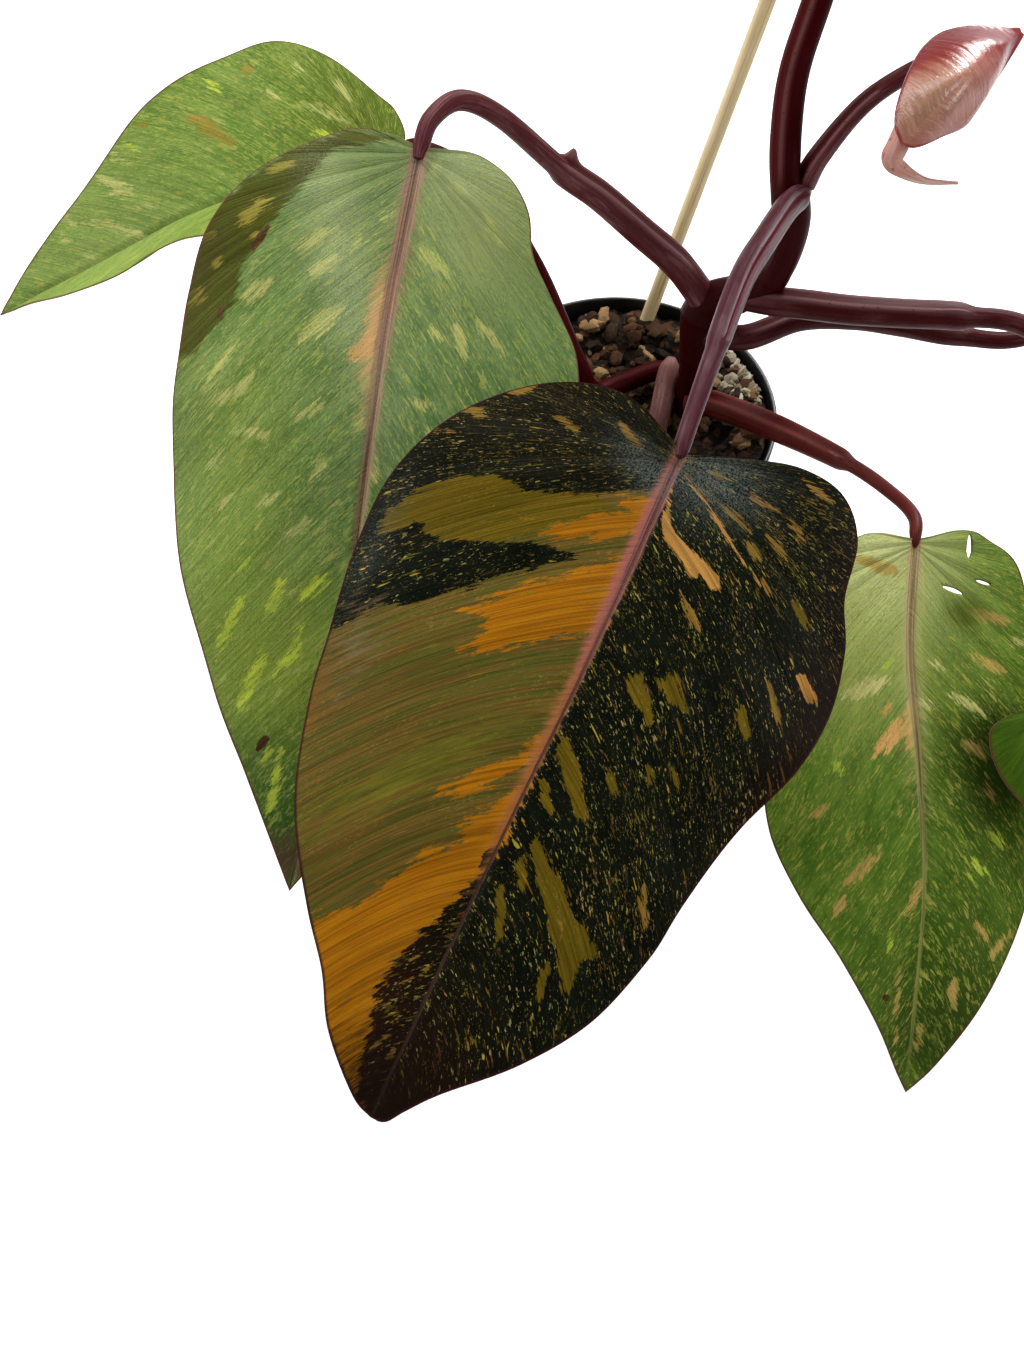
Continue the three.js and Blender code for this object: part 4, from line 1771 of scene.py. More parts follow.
@dataclass
class Studio:
    """Pale floor, soft lights and the camera.

    Attributes:
        camera_place: Where the camera is, in metres.
        camera_pitch: How far below the horizon it looks, in degrees.
        lens: Focal length in millimetres on a sensor whose long side is 36 mm.
        lamps: Soft lights.
        sky: Strength of the even light from all sides.
    """

    camera_place: Place = (-0.0466, -0.3139, 0.4566)
    camera_pitch: float = 62.0
    lens: float = 28.0
    lamps: Sequence[Lamp] = ()
    sky: float = 0.3

    SENSOR = 36.0
    NEAREST = 0.01
    FLOOR_SIZE = 6.0
    FLOOR_COLOUR = (0.9, 0.9, 0.9, 1)

    def _camera(self) -> None:
        """Makes the camera."""
        data = bpy.data.cameras.new("camera")
        data.lens = self.lens
        data.sensor_width = self.SENSOR
        data.sensor_fit = "AUTO"
        data.clip_start = self.NEAREST
        made = bpy.data.objects.new("camera", data)
        made.location = self.camera_place
        made.rotation_euler = (math.radians(90 - self.camera_pitch), 0, 0)
        bpy.context.scene.collection.objects.link(made)
        bpy.context.scene.camera = made

    def _floor(self) -> None:
        """Makes the pale floor."""
        bpy.ops.mesh.primitive_plane_add(size=self.FLOOR_SIZE)
        floor = bpy.context.object
        floor.name = "floor"
        paint = Graph("floor_paint", self.FLOOR_COLOUR)
        floor.data.materials.append(paint.finish(roughness=0.9, gloss=0.1))

    def build(self) -> None:
        """Makes the whole studio."""
        self._camera()
        self._floor()
        world = bpy.data.worlds.new("soft_sky")
        world.use_nodes = True
        background = world.node_tree.nodes["Background"]
        background.inputs["Color"].default_value = (1, 1, 1, 1)
        background.inputs["Strength"].default_value = self.sky
        scene = bpy.context.scene
        scene.world = world
        scene.view_settings.view_transform = "Standard"
        scene.view_settings.look = "None"
        for lamp in self.lamps:
            lamp.build()


GREEN_TONES = {
    Tone.SHADE: Paint("#3a3a06", "#48490e", 1.2, 0.8),
    Tone.CREAM: Paint("#929a56", "#a09e5c", 1.6, 0.8),
    Tone.LIME: Paint("#a4b23c", "#90a23a", 1.5, 0.7),
    Tone.OCHRE: Paint("#7a7428", "#8e7a34", 1.4, 0.6),
    Tone.AMBER: Paint("#c09658", "#b48a4c", 1.2, 0.7),
    Tone.SCAR: Paint("#3d2413", "#59351d", 0.3),
}
DEEP_TONES = GREEN_TONES | {
    Tone.CREAM: Paint("#a4a460", "#b2ac6c", 1.5, 0.7),
    Tone.OCHRE: Paint("#8e8440", "#a88c4a", 1.3, 0.6),
}

DARK_LEAF = LeafFinish(
    name="dark_leaf",
    ground=("#060904", "#0e1208"),
    flecks=(
        Fleck(0.8, 2.2, 0.65, ("#787a44", "#8a7644"), 21, 0.9),
        Fleck(1.2, 4.2, 0.68, ("#9c823c", "#868032"), 33, 0.95),
        Fleck(1.6, 8.5, 0.695, ("#9e7830", "#887c28"), 57, 0.95),
    ),
    veil=(
        Fleck(0.5, 1.3, 0.62, ("#86702e", "#5e5a22"), 45, 0.4),
        Fleck(1.2, 10, 0.65, ("#865c1c", "#66661e"), 47, 0.45),
    ),
    tones={
        Tone.SECTOR: Paint("#5f4a1e", "#4c491a", 1.0, 0.3),
        Tone.OLIVE: Paint("#5c4a0c", "#50430a", 1.0, 0.2),
        Tone.AMBER: Paint("#99610a", "#8e5608", 1.6, 0.5),
        Tone.DARK: Paint("#080b05", "#15120a", 0.6),
        Tone.CREAM: Paint("#a2763c", "#926426", 0.6),
        Tone.OCHRE: Paint("#7c5c28", "#70581e", 0.8),
    },
    rib=("#845650", "#4a3426"),
    rib_width=(1.8, 0.6),
    rib_run=0.4,
    rim="#2a0f12",
    under="#4a2018",
    hatch=0.34,
    gloss=0.035,
)

GREEN_LEAF = LeafFinish(
    name="green_leaf",
    ground=("#466236", "#647a48"),
    flecks=(
        Fleck(0.8, 2.0, 0.54, ("#868f50", "#7c8a40"), 51, 0.55),
        Fleck(1.5, 6.0, 0.59, ("#929450", "#858f3c"), 63, 0.7),
    ),
    veil=(Fleck(0.45, 0.9, 0.56, ("#345020", "#42602a"), 75, 0.4),),
    tones=GREEN_TONES,
    rib=("#8e6a5a", "#80704e"),
    rib_width=(3.0, 1.4),
    groove=0.25,
    rim="#5c2f28",
    under="#7d8a55",
    gloss=0.05,
)

LIGHT_LEAF = LeafFinish(
    name="light_green_leaf",
    ground=("#506c24", "#6c8136"),
    flecks=(
        Fleck(0.8, 2.4, 0.55, ("#8f934a", "#8a9640"), 151, 0.55),
        Fleck(1.8, 7.0, 0.59, ("#949648", "#8c943c"), 163, 0.65),
    ),
    veil=(Fleck(0.45, 0.9, 0.56, ("#3c5818", "#486420"), 175, 0.4),),
    tones=GREEN_TONES,
    rib=("#7f8c50", "#7f8c50"),
    rib_width=(1.2, 0.6),
    rib_strength=0.5,
    groove=0.12,
    rim="#54301f",
    under="#7f8a58",
    gloss=0.05,
)

DEEP_LEAF = LeafFinish(
    name="deep_green_leaf",
    ground=("#42601a", "#5c7628"),
    flecks=(
        Fleck(0.8, 2.4, 0.56, ("#76842f", "#8c8c3c"), 251, 0.55),
        Fleck(1.6, 7.0, 0.6, ("#9a9446", "#7f8d30"), 263, 0.75),
    ),
    veil=(Fleck(0.45, 0.9, 0.56, ("#28420f", "#344c14"), 275, 0.35),),
    tones=DEEP_TONES,
    rib=("#a08a66", "#7d8040"),
    rib_width=(2.4, 0.8),
    groove=0.1,
    rim="#4a2420",
    under="#6f7c48",
    gloss=0.035,
)

PLAIN_LEAF = replace(
    DEEP_LEAF, name="plain_green_leaf", ground=("#2c4408", "#384f0e"), flecks=(), veil=()
)

NEW_LEAF = LeafFinish(
    name="new_leaf",
    ground=("#94504a", "#a4665c"),
    flecks=(Fleck(0.9, 7.0, 0.55, ("#8a5a4a", "#b88478"), 351, 0.3),),
    veil=(Fleck(0.5, 3.5, 0.6, ("#7a2a26", "#8c3a34"), 375, 0.25),),
    tones=GREEN_TONES,
    rib=("#a8655a", "#a8655a"),
    rib_width=(0.6, 0.3),
    rib_strength=0.0,
    groove=0.0,
    rim="#6a1016",
    under="#7a1512",
    hatch=0.12,
    roughness=0.22,
    gloss=0.5,
    relief=0.00025,
)

MAROON = StalkFinish("maroon_skin", "#2e0204", "#3c1012", "#380204", "#54302f", dust=0.25, gloss=0.03)
RUDDY = StalkFinish("ruddy_skin", "#360c0e", "#5e3a3c", "#340406", "#644446", dust=0.5, gloss=0.05)
BLUSH = StalkFinish("blush_skin", "#48191c", "#80585a", "#340406", "#70484a", dust=0.55, gloss=0.08)
DUSKY = StalkFinish("dusky_skin", "#3a121a", "#5e464c", "#560a1a", "#6a565c", dust=0.65, gloss=0.08)
RUSSET = StalkFinish("russet_skin", "#46120e", "#64302a", "#3c0a0a", "#5c2a22", dust=0.4, gloss=0.08)
STUB_SKIN = StalkFinish("stub_skin", "#684240", "#8a6a62", "#3c0e14", "#8a6a62", dust=0.7, gloss=0.1)
NODE_SKIN = StalkFinish("node_skin", "#2a0304", "#360e10", "#2a0406", "#421c1e", dust=0.25, gloss=0.03)
TAIL_SKIN = StalkFinish("new_tail_skin", "#a87468", "#c8b0a4", "#6a1416", "#c8b0a4", dust=0.9, gloss=0.25)

BARK = ChipFinish("bark_chips", ("#120a05", "#3c2616", "#7f6442"), 0.0016, 0.9)
GRIT = ChipFinish("white_grit", ("#5f5442", "#857a66", "#aaa190"), 0.0009, 0.85)

# Stretches of outline that the sector shares with the olive and the amber on it.
SECTOR_BASE = (
    (20, -17), (27, -34), (27, -45), (31, -53), (36, -59), (42, -63), (48, -67), (54, -67), (52, -63),
    (47, -58), (49, -51), (44, -38),
)
SECTOR_TIP = (
    (172, -31), (190, -18), (207, -1), (198, -7), (188, -10), (176, -12), (168, -14), (159, -13),
    (152, -11), (139, -6), (126, 0),
)

FRONT_MARKINGS = {
    Tone.SECTOR: [
        patch(
            (11, -1), *SECTOR_BASE, (39, -28), (37, -14), (45, -24), (53, -33), (66, -46), (72, -56),
            (78, -61), (87, -68), (110, -68), (136, -56), (154, -44), *SECTOR_TIP, (118, 0.6), (78, 0.6),
            (49, 0.6),
        )
    ],
    Tone.OLIVE: [
        patch((22, -10), *SECTOR_BASE, (37, -28), (32, -24)),
        patch((61, 11), (59, 15), (62, 18), (68, 22), (71, 22), (68, 18), (64, 13)),
        patch((58, 18), (55, 23), (58, 26), (63, 30), (64, 28), (62, 24)),
        patch((82, 3), (88, 3), (93, 7), (98, 12), (101, 15), (100, 19), (95, 15), (89, 11)),
        patch((127, 4), (126, 6), (131, 8), (139, 12), (144, 11), (136, 8)),
        patch(
            (110, 8), (115, 8), (122, 14), (130, 21), (137, 26), (145, 31), (148, 36), (142, 34), (136, 34),
            (135, 38), (130, 35), (128, 31), (126, 27), (122, 22), (118, 18), (114, 13),
        ),
        patch((142, 26), (144, 28), (153, 29), (152, 27), (146, 25)),
        *splashes(
            (96, 3, 104, 9, 1.2), (118, 7, 125, 11, 1.2), (15, 28, 18, 31, 1.3), (87, 18, 91, 22, 1.1),
            (80, 27, 85, 30, 1.1), (78, 33, 81, 36, 1.0), (56, 43, 62, 47, 1.7), (24, 44, 29, 51, 1.2),
        ),
    ],
    Tone.AMBER: [
        patch(
            (30, -1), (42, -14), (51, -25), (58, -31), (64, -37), (64, -31), (67, -29), (75, -33), (69, -22),
            (62, -14), (57, -6), (52, 0), (44, 0),
        ),
        patch((13, -2), (19, -11), (21, -7), (25, -15), (33, -24), (36, -26), (34, -17), (28, -7), (22, -1)),
        patch((82, 0), (93, -7), (100, -13), (110, -22), (114, -23), (106, -12), (98, -5), (91, 0)),
        patch(
            (93, 0), (104, -4), (118, -13), (120, -10), (128, -18), (137, -23), (148, -28), (157, -38),
            *SECTOR_TIP, (118, 0.5), (104, 0.5),
        ),
    ],
    Tone.DARK: [patch((126, -2), (122, -3), (119, -1.5), (118, 0), (124, 0.5))],
    Tone.CREAM: [
        patch(
            (18, 1.8), (15.5, 3), (20, 6.5), (23, 12.5), (24.5, 17.5), (26.5, 22.5), (30, 25), (30.5, 22),
            (28.5, 18), (30.5, 16), (27, 11.5), (23.5, 5.5),
        ),
        patch((42, 53), (40, 56), (43, 60), (45, 63), (47, 61), (45, 57)),
        *splashes((5, 3, 8, 9, 0.35), (7, 8, 20, 26, 0.4), (19, 25, 26, 38, 0.35), (10, 1.5, 17, 3, 0.6)),
    ],
    Tone.OCHRE: splashes(
        (0, -19, 3, -11, 0.9), (5, -50, -1, -43, 1.4), (8, 15, 12, 26, 0.8), (-7, 34, -5, 43, 0.9),
        (3, 22, 4, 31, 0.8), (1, 9, 1, 15, 0.7), (4, 33, 7, 40, 0.8), (11, 30, 14, 37, 0.7),
        (15, 26, 18, 31, 0.9), (22, 33, 25, 38, 0.6), (35, 14, 42, 24, 0.6), (46, 46, 56, 56, 0.7),
        (6, -35, 6, -29, 0.8), (14, -62, 12, -52, 1.0), (22, -66, 20, -57, 0.8), (110, 40, 122, 46, 0.8),
        (126, 22, 134, 27, 0.6), (179, -5, 186, -8, 0.8), (173, -4, 177, -6, 0.5), (166, -2, 169, -4, 0.5),
        (161, -6, 165, -8, 0.5), (155, -7, 158, -9, 0.5), (171, -9, 175, -12, 0.5), (158, -3, 161, -5, 0.5),
        (169, 15, 174, 17, 0.8), (183, -2, 187, -3, 0.5),
    ),
}

LEFT_MARKINGS = {
    Tone.SHADE: [
        patch(
            (-2, -6), (-1, -22), (8, -40), (20, -50), (32, -60), (47, -65), (59, -66), (74, -62), (70, -56),
            (62, -51), (54, -46), (46, -46), (41, -44), (34, -41), (19, -33), (6, -26),
        )
    ],
    Tone.CREAM: splashes(
        (37, -30, 29, -20, 2.4), (43, -24, 38, -18, 1.8), (62, -24, 52, -14, 2.8), (53, -43, 48, -37, 1.8),
        (30, 6, 37, 17, 2.0), (52, 21, 60, 26, 1.4), (48, 27, 57, 36, 1.4), (75, 10, 77, 18, 1.4),
        (8, 5, 4, 6, 1.0), (8, 11, 11, 16, 1.2), (17, 24, 24, 30, 1.0), (35, -14, 30, -11, 1.0),
        (23, -7, 19, -2, 1.0), (54, 14, 56, 20, 1.0), (84, 12, 86, 19, 1.0), (87, -6, 83, -1, 1.0),
        (92, -39, 92, -32, 1.4), (86, -23, 81, -16, 1.0), (85, -48, 76, -38, 1.6), (81, -52, 67, -44, 1.4),
        (121, -21, 116, -15, 1.4), (95, 2, 101, 3, 1.2), (104, -16, 97, -13, 1.0),
        (104, -48, 100, -45, 1.0), (113, -30, 110, -26, 1.2), (115, -44, 112, -40, 1.0),
    ),
    Tone.LIME: splashes(
        (179, -28, 160, -24, 1.8), (166, -20, 155, -14, 1.6), (164, -39, 143, -34, 1.6),
        (145, -24, 135, -22, 1.4), (140, -14, 131, -8, 1.6), (210, -12, 189, -13, 1.4),
        (155, -15, 148, -14, 0.9), (135, -34, 130, -33, 1.0), (196, -17, 190, -17, 0.9),
    ),
    Tone.OCHRE: splashes(
        (32, -49, 25, -42, 2.2), (57, -60, 52, -58, 2.0), (40, -61, 36, -56, 1.2), (46, -54, 44, -54, 1.2),
        (36, -45, 34, -42, 1.0), (16, -44, 12, -37, 1.4),
    ),
    Tone.AMBER: splashes((66, -9, 55, -1, 2.6), (56, -2, 40, 0, 2.0)),
    Tone.SCAR: splashes((40, -44, 32, -40, 1.2), (60, -51, 56, -50, 1.0), (191, -20, 186, -18, 1.4)),
}

BACK_LEFT_MARKINGS = {
    Tone.OCHRE: splashes((70, -33, 58, -19, 2.4), (86, -38, 85, -35, 1.4), (50, -47, 47, -43, 1.0)),
    Tone.CREAM: splashes(
        (108, -28, 98, -16, 2.6), (118, -14, 101, -2, 1.4), (30, -41, 29, -38, 1.0),
        (16, -31, 12, -24, 1.2), (134, -16, 130, -12, 1.0), (129, -22, 126, -17, 1.0),
        (30, -26, 14, -16, 0.8), (99, -12, 92, -8, 1.0), (128, -6, 121, -1, 0.8), (41, -34, 37, -30, 0.8),
        (100, -33, 96, -30, 0.8),
    ),
    Tone.LIME: splashes((63, -46, 60, -40, 1.0), (94, -35, 90, -30, 1.0), (28, -16, 21, -13, 1.0)),
}

RIGHT_MARKINGS = {
    Tone.CREAM: splashes(
        (51, -23, 47, -9, 3.0), (54, 13, 61, 23, 1.7), (42, 5, 44, 10, 1.1), (33, 35, 35, 38, 1.3),
        (54, 2, 58, 6, 1.1),
    ),
    Tone.LIME: splashes(
        (109, 12, 114, 20, 1.1), (101, 22, 106, 26, 1.1), (114, 14, 118, 17, 0.9),
        (142, -12, 136, -11, 0.9), (43, -10, 41, -4, 1.1), (73, -29, 77, -26, 1.1),
    ),
    Tone.OCHRE: splashes(
        (8, -20, 12, -5, 2.2), (23, 19, 26, 34, 2.0), (40, 21, 47, 31, 2.0), (70, 16, 76, 24, 1.7),
        (58, -12, 55, -8, 1.7), (116, -27, 105, -16, 1.9), (128, -31, 122, -28, 1.5),
        (128, -6, 116, -1, 1.7), (90, -38, 87, -32, 1.5), (162, 13, 152, 12, 1.5), (130, 18, 138, 22, 1.1),
        (143, 24, 134, 29, 1.7), (175, -6, 148, -7, 0.9), (178, 2, 169, 3, 1.1),
    ),
    Tone.AMBER: splashes((71, -15, 61, -2, 3.0), (72, -3, 54, -1, 1.9), (85, 21, 90, 24, 1.2)),
    Tone.SCAR: splashes((158, -12, 159, -10, 1.3)),
}

# Margins of the blades whose halves are alike.
BACK_RIGHT_MARGIN = [(-4, 5), (-8, 18), (-3, 32), (12, 40), (34, 43), (58, 38), (82, 27), (104, 13)]
TOP_MARGIN = [(-4, 5), (-9, 20), (-4, 36), (12, 46), (38, 50), (68, 44), (98, 31), (126, 14)]

BLADES = [
    Blade(
        name="front_leaf",
        midrib=[(-0.5, -123, 229.5), (-24.5, -171, 206.5), (-51, -218.5, 179), (-87, -281.5, 132)],
        face=((0, -0.55, 0.83), (-0.1, -0.75, 0.65)),
        fold=(12, 12),
        droop=(14, 14),
        half_width=65,
        left=[
            (-3.5, 5.5), (-8, 20.5), (-5, 35.5), (4.5, 50.5), (19.5, 63), (39.5, 70.5), (62, 70.5),
            (85.5, 66.5), (104.5, 63.5), (129.5, 55.5), (154, 41), (169.5, 30), (185, 21.5), (201, 7.5),
        ],
        right=[
            (-2, 5), (-5.5, 15), (-10, 31), (-8.5, 45), (1, 54), (17, 57.5), (29.5, 64.5), (45.5, 68),
            (64, 65.5), (84.5, 58.5), (111, 53), (129.5, 51), (152, 45), (171.5, 32), (189.5, 15.5),
            (199, 8.5), (205, 4.5),
        ],
        finish=DARK_LEAF,
        slot="dark_blade",
        markings=FRONT_MARKINGS,
        bow=0.25,
        washes=[
            Wash(
                "#1c0a06",
                (Tint((200, -6), (34, 26)), Tint((90, 68), (60, 11)), Tint((0, 62), (30, 12), 0.6)),
            ),
            Wash("#1a150a", (Tint((0, -45), (26, 30), 0.7),)),
            Wash("#261208", (Tint((166, -16), (34, 12), 0.9, 10),)),
            Wash("#62601a", (Tint((107, -29), (46, 7), 0.55, -38, Half.LEFT),), Layer.GLAZE),
            Wash("#74481c", (Tint((116, -63), (40, 5), 0.55),), Layer.GLAZE),
            # Painted sheen: grey-brown haze on the upper left of the blade.
            Wash("#6c6046", (Tint((86, -58), (18, 10), 0.4),), Layer.GLAZE),
            Wash("#120904", (Tint((70, 72), (66, 14), 0.95), Tint((204, 2), (36, 30), 0.85)), Layer.GLAZE),
            Wash(
                "#94574e",
                (
                    Tint((14, 0), (20, 2.8), 1.0, 0, Half.LEFT),
                    Tint((38, 0), (26, 3.4), 0.95, 0, Half.LEFT),
                    Tint((64, 0), (22, 2.6), 0.75, 0, Half.LEFT),
                ),
                Layer.GLAZE,
            ),
            Wash("#9a6038", (Tint((88, 0), (44, 3.6), 0.85, 0, Half.LEFT),), Layer.GLAZE),
            # Painted sheen: grey speckle by the petiole and along the left margin.
            Wash(
                "#5f6966",
                (
                    Tint((3, 10), (10, 14), 0.7, 0, Half.RIGHT),
                    Tint((8, -6), (5, 12), 0.7, -20, Half.LEFT),
                    Tint((58, -66), (22, 4), 0.2),
                ),
                Layer.BLOOM,
            ),
            Wash("#8a7a58", (Tint((-1, 1), (2.5, 3)),), Layer.BLOOM),
        ],
        rows=230,
        steps=46,
    ),
    Blade(
        name="left_leaf",
        midrib=[
            (-74.5, -20.2, 248.1), (-85, -68.5, 222.5), (-92.5, -111.5, 195), (-101, -157, 163),
            (-119, -212, 120),
        ],
        face=((0, -0.45, 0.9), (0, -0.8, 0.6)),
        fold=(8, 8),
        droop=(10, 10),
        half_width=60,
        left=[
            (-2, 5), (-3, 11.5), (-2, 20.5), (2, 29), (15.5, 47), (34.5, 59), (53.5, 62), (72, 61.5),
            (91, 61), (115, 58), (142.5, 51), (175, 37.5), (200, 22), (221, 9),
        ],
        right=[
            (-1, 3.5), (-1.5, 15.5), (1, 23.5), (5.5, 30.5), (13.5, 36.5), (25, 40), (35, 47), (49.5, 57),
            (60.5, 60.5), (73.5, 62.5), (92, 62.5), (111, 59), (150, 42.5), (188, 22), (219, 8),
        ],
        finish=GREEN_LEAF,
        markings=LEFT_MARKINGS,
        washes=[
            Wash("#7a8c2e", (Tint((170, -10), (40, 40), 0.8), Tint((110, -40), (60, 22), 0.5))),
            # Painted shade: darker green towards the tip.
            Wash("#33521a", (Tint((212, 0), (30, 40)),)),
            # Painted sheen: a pale band near the base.
            Wash("#8b9060", (Tint((10, 22), (34, 22), 0.7), Tint((26, -20), (50, 10), 0.5, 20))),
            Wash("#38360a", (Tint((42, -66), (42, 15), 0.8),), Layer.GLAZE),
            Wash("#b88c58", (Tint((58, -3), (24, 4.2), 0.75, 0, Half.LEFT),), Layer.GLAZE),
            Wash("#4a3a28", (Tint((224, 0), (12, 14), 0.8),), Layer.GLAZE),
            Wash("#7e5c4a", (Tint((20, 0), (60, 5.5), 0.5), Tint((100, 0), (50, 3.0), 0.35)), Layer.GLAZE),
            # Painted sheen: pale speckle on the left half and by the petiole.
            Wash("#a9b296", (Tint((40, -16), (44, 9), 0.3, 24), Tint((4, 12), (10, 18), 0.25)), Layer.BLOOM),
        ],
        rows=200,
        steps=40,
    ),
    Blade(
        name="back_left_leaf",
        midrib=[
            (-90, 34, 205.5), (-128, 31.5, 198.5), (-165.5, 28.5, 188), (-205, 20.5, 172),
            (-249.3, 11.6, 154),
        ],
        face=((0, 0.1, 0.99), (0, 0.1, 0.99)),
        fold=(38, 14),
        droop=(4, 0),
        half_width=58,
        left=[
            (-6, 7.5), (-4, 17), (1, 23.5), (17.5, 40.5), (39, 52.5), (60, 52), (81.5, 44.5), (112, 30),
            (149, 12.5),
        ],
        right=[
            (-3, 5), (-7, 16), (-3, 30), (10, 42), (30, 48), (48, 46.5), (62, 38), (79, 26.5), (92, 24),
            (105, 28), (118.5, 25.5), (134, 18), (153, 6),
        ],
        finish=LIGHT_LEAF,
        markings=BACK_LEFT_MARKINGS,
        washes=[
            Wash("#4e5c16", (Tint((20, 40), (34, 24), 0.8), Tint((10, -10), (24, 32), 0.95))),
            Wash("#7f9250", (Tint((120, 0), (50, 40), 0.5),)),
        ],
    ),
    Blade(
        name="right_leaf",
        midrib=[
            (90, -102.5, 161.5), (87.5, -136.5, 145.5), (91, -175, 125), (94, -209.5, 102),
            (92.5, -266, 57.5),
        ],
        face=((0, -0.45, 0.9), (0, -0.8, 0.6)),
        fold=(8, 8),
        droop=(10, 10),
        half_width=55,
        left=[
            (-1, 5.5), (-1.5, 12.5), (0.5, 20), (10, 32.5), (23.5, 41.5), (39.5, 48.5), (56.5, 52),
            (73.5, 53), (97, 51), (122.5, 42), (145, 27.5), (169, 13), (186.5, 4.5),
        ],
        right=[
            (-2, 6.5), (-4, 13), (-4, 19.5), (-1, 25), (4.5, 33.5), (15.5, 38.5), (38, 44), (65.5, 44.5),
            (92.5, 41), (111, 37), (140, 30.5), (162, 22), (184, 9),
        ],
        finish=DEEP_LEAF,
        markings=RIGHT_MARKINGS,
        washes=[
            # Painted shadow of the leaf beside it on the right half, and painted shade towards the tip.
            Wash("#22300a", (Tint((78, 24), (26, 16), 1.0), Tint((165, 12), (46, 28), 0.85))),
            # This wash and the next are painted light: paler near the base, where light falls.
            Wash("#b6ba80", (Tint((8, -15), (24, 26)),)),
            Wash("#9ea85c", (Tint((36, -18), (26, 24), 0.65),)),
            # Painted shadow and painted shade again, laid over the markings.
            Wash("#1e2c08", (Tint((80, 26), (22, 13), 0.8), Tint((176, 6), (26, 22), 0.5)), Layer.GLAZE),
            Wash("#9c9a60", (Tint((40, 0), (60, 6), 0.6),), Layer.GLAZE),
            Wash("#434c14", (Tint((24, 18), (8, 9), 0.75),), Layer.GLAZE),
        ],
        slits=splashes((-3, 18, 5, 18, 0.9), (15, 10, 17, 17, 0.8), (12, 21, 13, 26, 0.6)),
    ),
    Blade(
        name="right_edge_leaf",
        midrib=[(128.7, -159.7, 145.6), (157, -186, 135), (191.5, -217, 115), (234.5, -246, 85)],
        face=((-0.1, -0.35, 0.93), (0.2, -0.7, 0.7)),
        fold=(10, 10),
        droop=(16, 16),
        half_width=50,
        left=[
            (-5, 3), (-9.5, 14.5), (-7, 20.5), (3, 26), (15.5, 28), (33.5, 30), (62.5, 29), (95, 22),
            (125, 11),
        ],
        right=[(-5, 4), (-9, 14), (-5, 23), (6, 29), (24, 32), (45, 32), (70, 28.5), (98, 20.5), (126, 10)],
        finish=PLAIN_LEAF,
    ),
    Blade(
        name="back_right_leaf",
        midrib=[(205, 17.2, 186), (238, 36, 185), (272, 56, 173), (300, 74, 148)],
        face=((0, 0, 1), (0.6, 0.3, 0.7)),
        fold=(12, 12),
        droop=(14, 14),
        half_width=50,
        left=BACK_RIGHT_MARGIN,
        right=BACK_RIGHT_MARGIN,
        finish=GREEN_LEAF,
    ),
    Blade(
        name="top_leaf",
        midrib=[(65, 55.5, 348), (78, 96, 346), (93, 142, 328), (106, 184, 292)],
        face=((0, 0, 1), (0.1, 0.6, 0.75)),
        fold=(12, 12),
        droop=(16, 16),
        half_width=55,
        left=TOP_MARGIN,
        right=TOP_MARGIN,
        finish=GREEN_LEAF,
    ),
    Blade(
        name="new_leaf",
        midrib=[(109, 13.5, 263.8), (91, -6.5, 265.5), (77, -21, 263.5), (67.5, -29, 256)],
        face=((0.3, -0.47, 0.88), (0.3, -0.47, 0.88)),
        fold=(0, 0),
        droop=(40, 40),
        half_width=22,
        left=[(2, 2.5), (8.5, 5), (14.5, 10.5), (20, 17), (29, 17.5), (40, 14.5), (52, 10), (59, 5.5)],
        right=[(2, 2), (13.5, 5), (23.5, 7.8), (32, 10.8), (39, 12), (49.5, 9.2), (56, 6.5), (60, 3.5)],
        finish=NEW_LEAF,
        slot="new_blade",
        plump=5.0,
        washes=[
            Wash("#8a6a4e", (Tint((50, -3), (13, 9), 0.85),)),
            Wash(
                "#70141a",
                (Tint((18, -11), (30, 10.5), 1.5, -14), Tint((3, 0), (13, 16), 1.2)),
                Layer.GLAZE,
            ),
            Wash("#843a34", (Tint((34, 12), (32, 7), 0.75),), Layer.GLAZE),
        ],
    ),
]

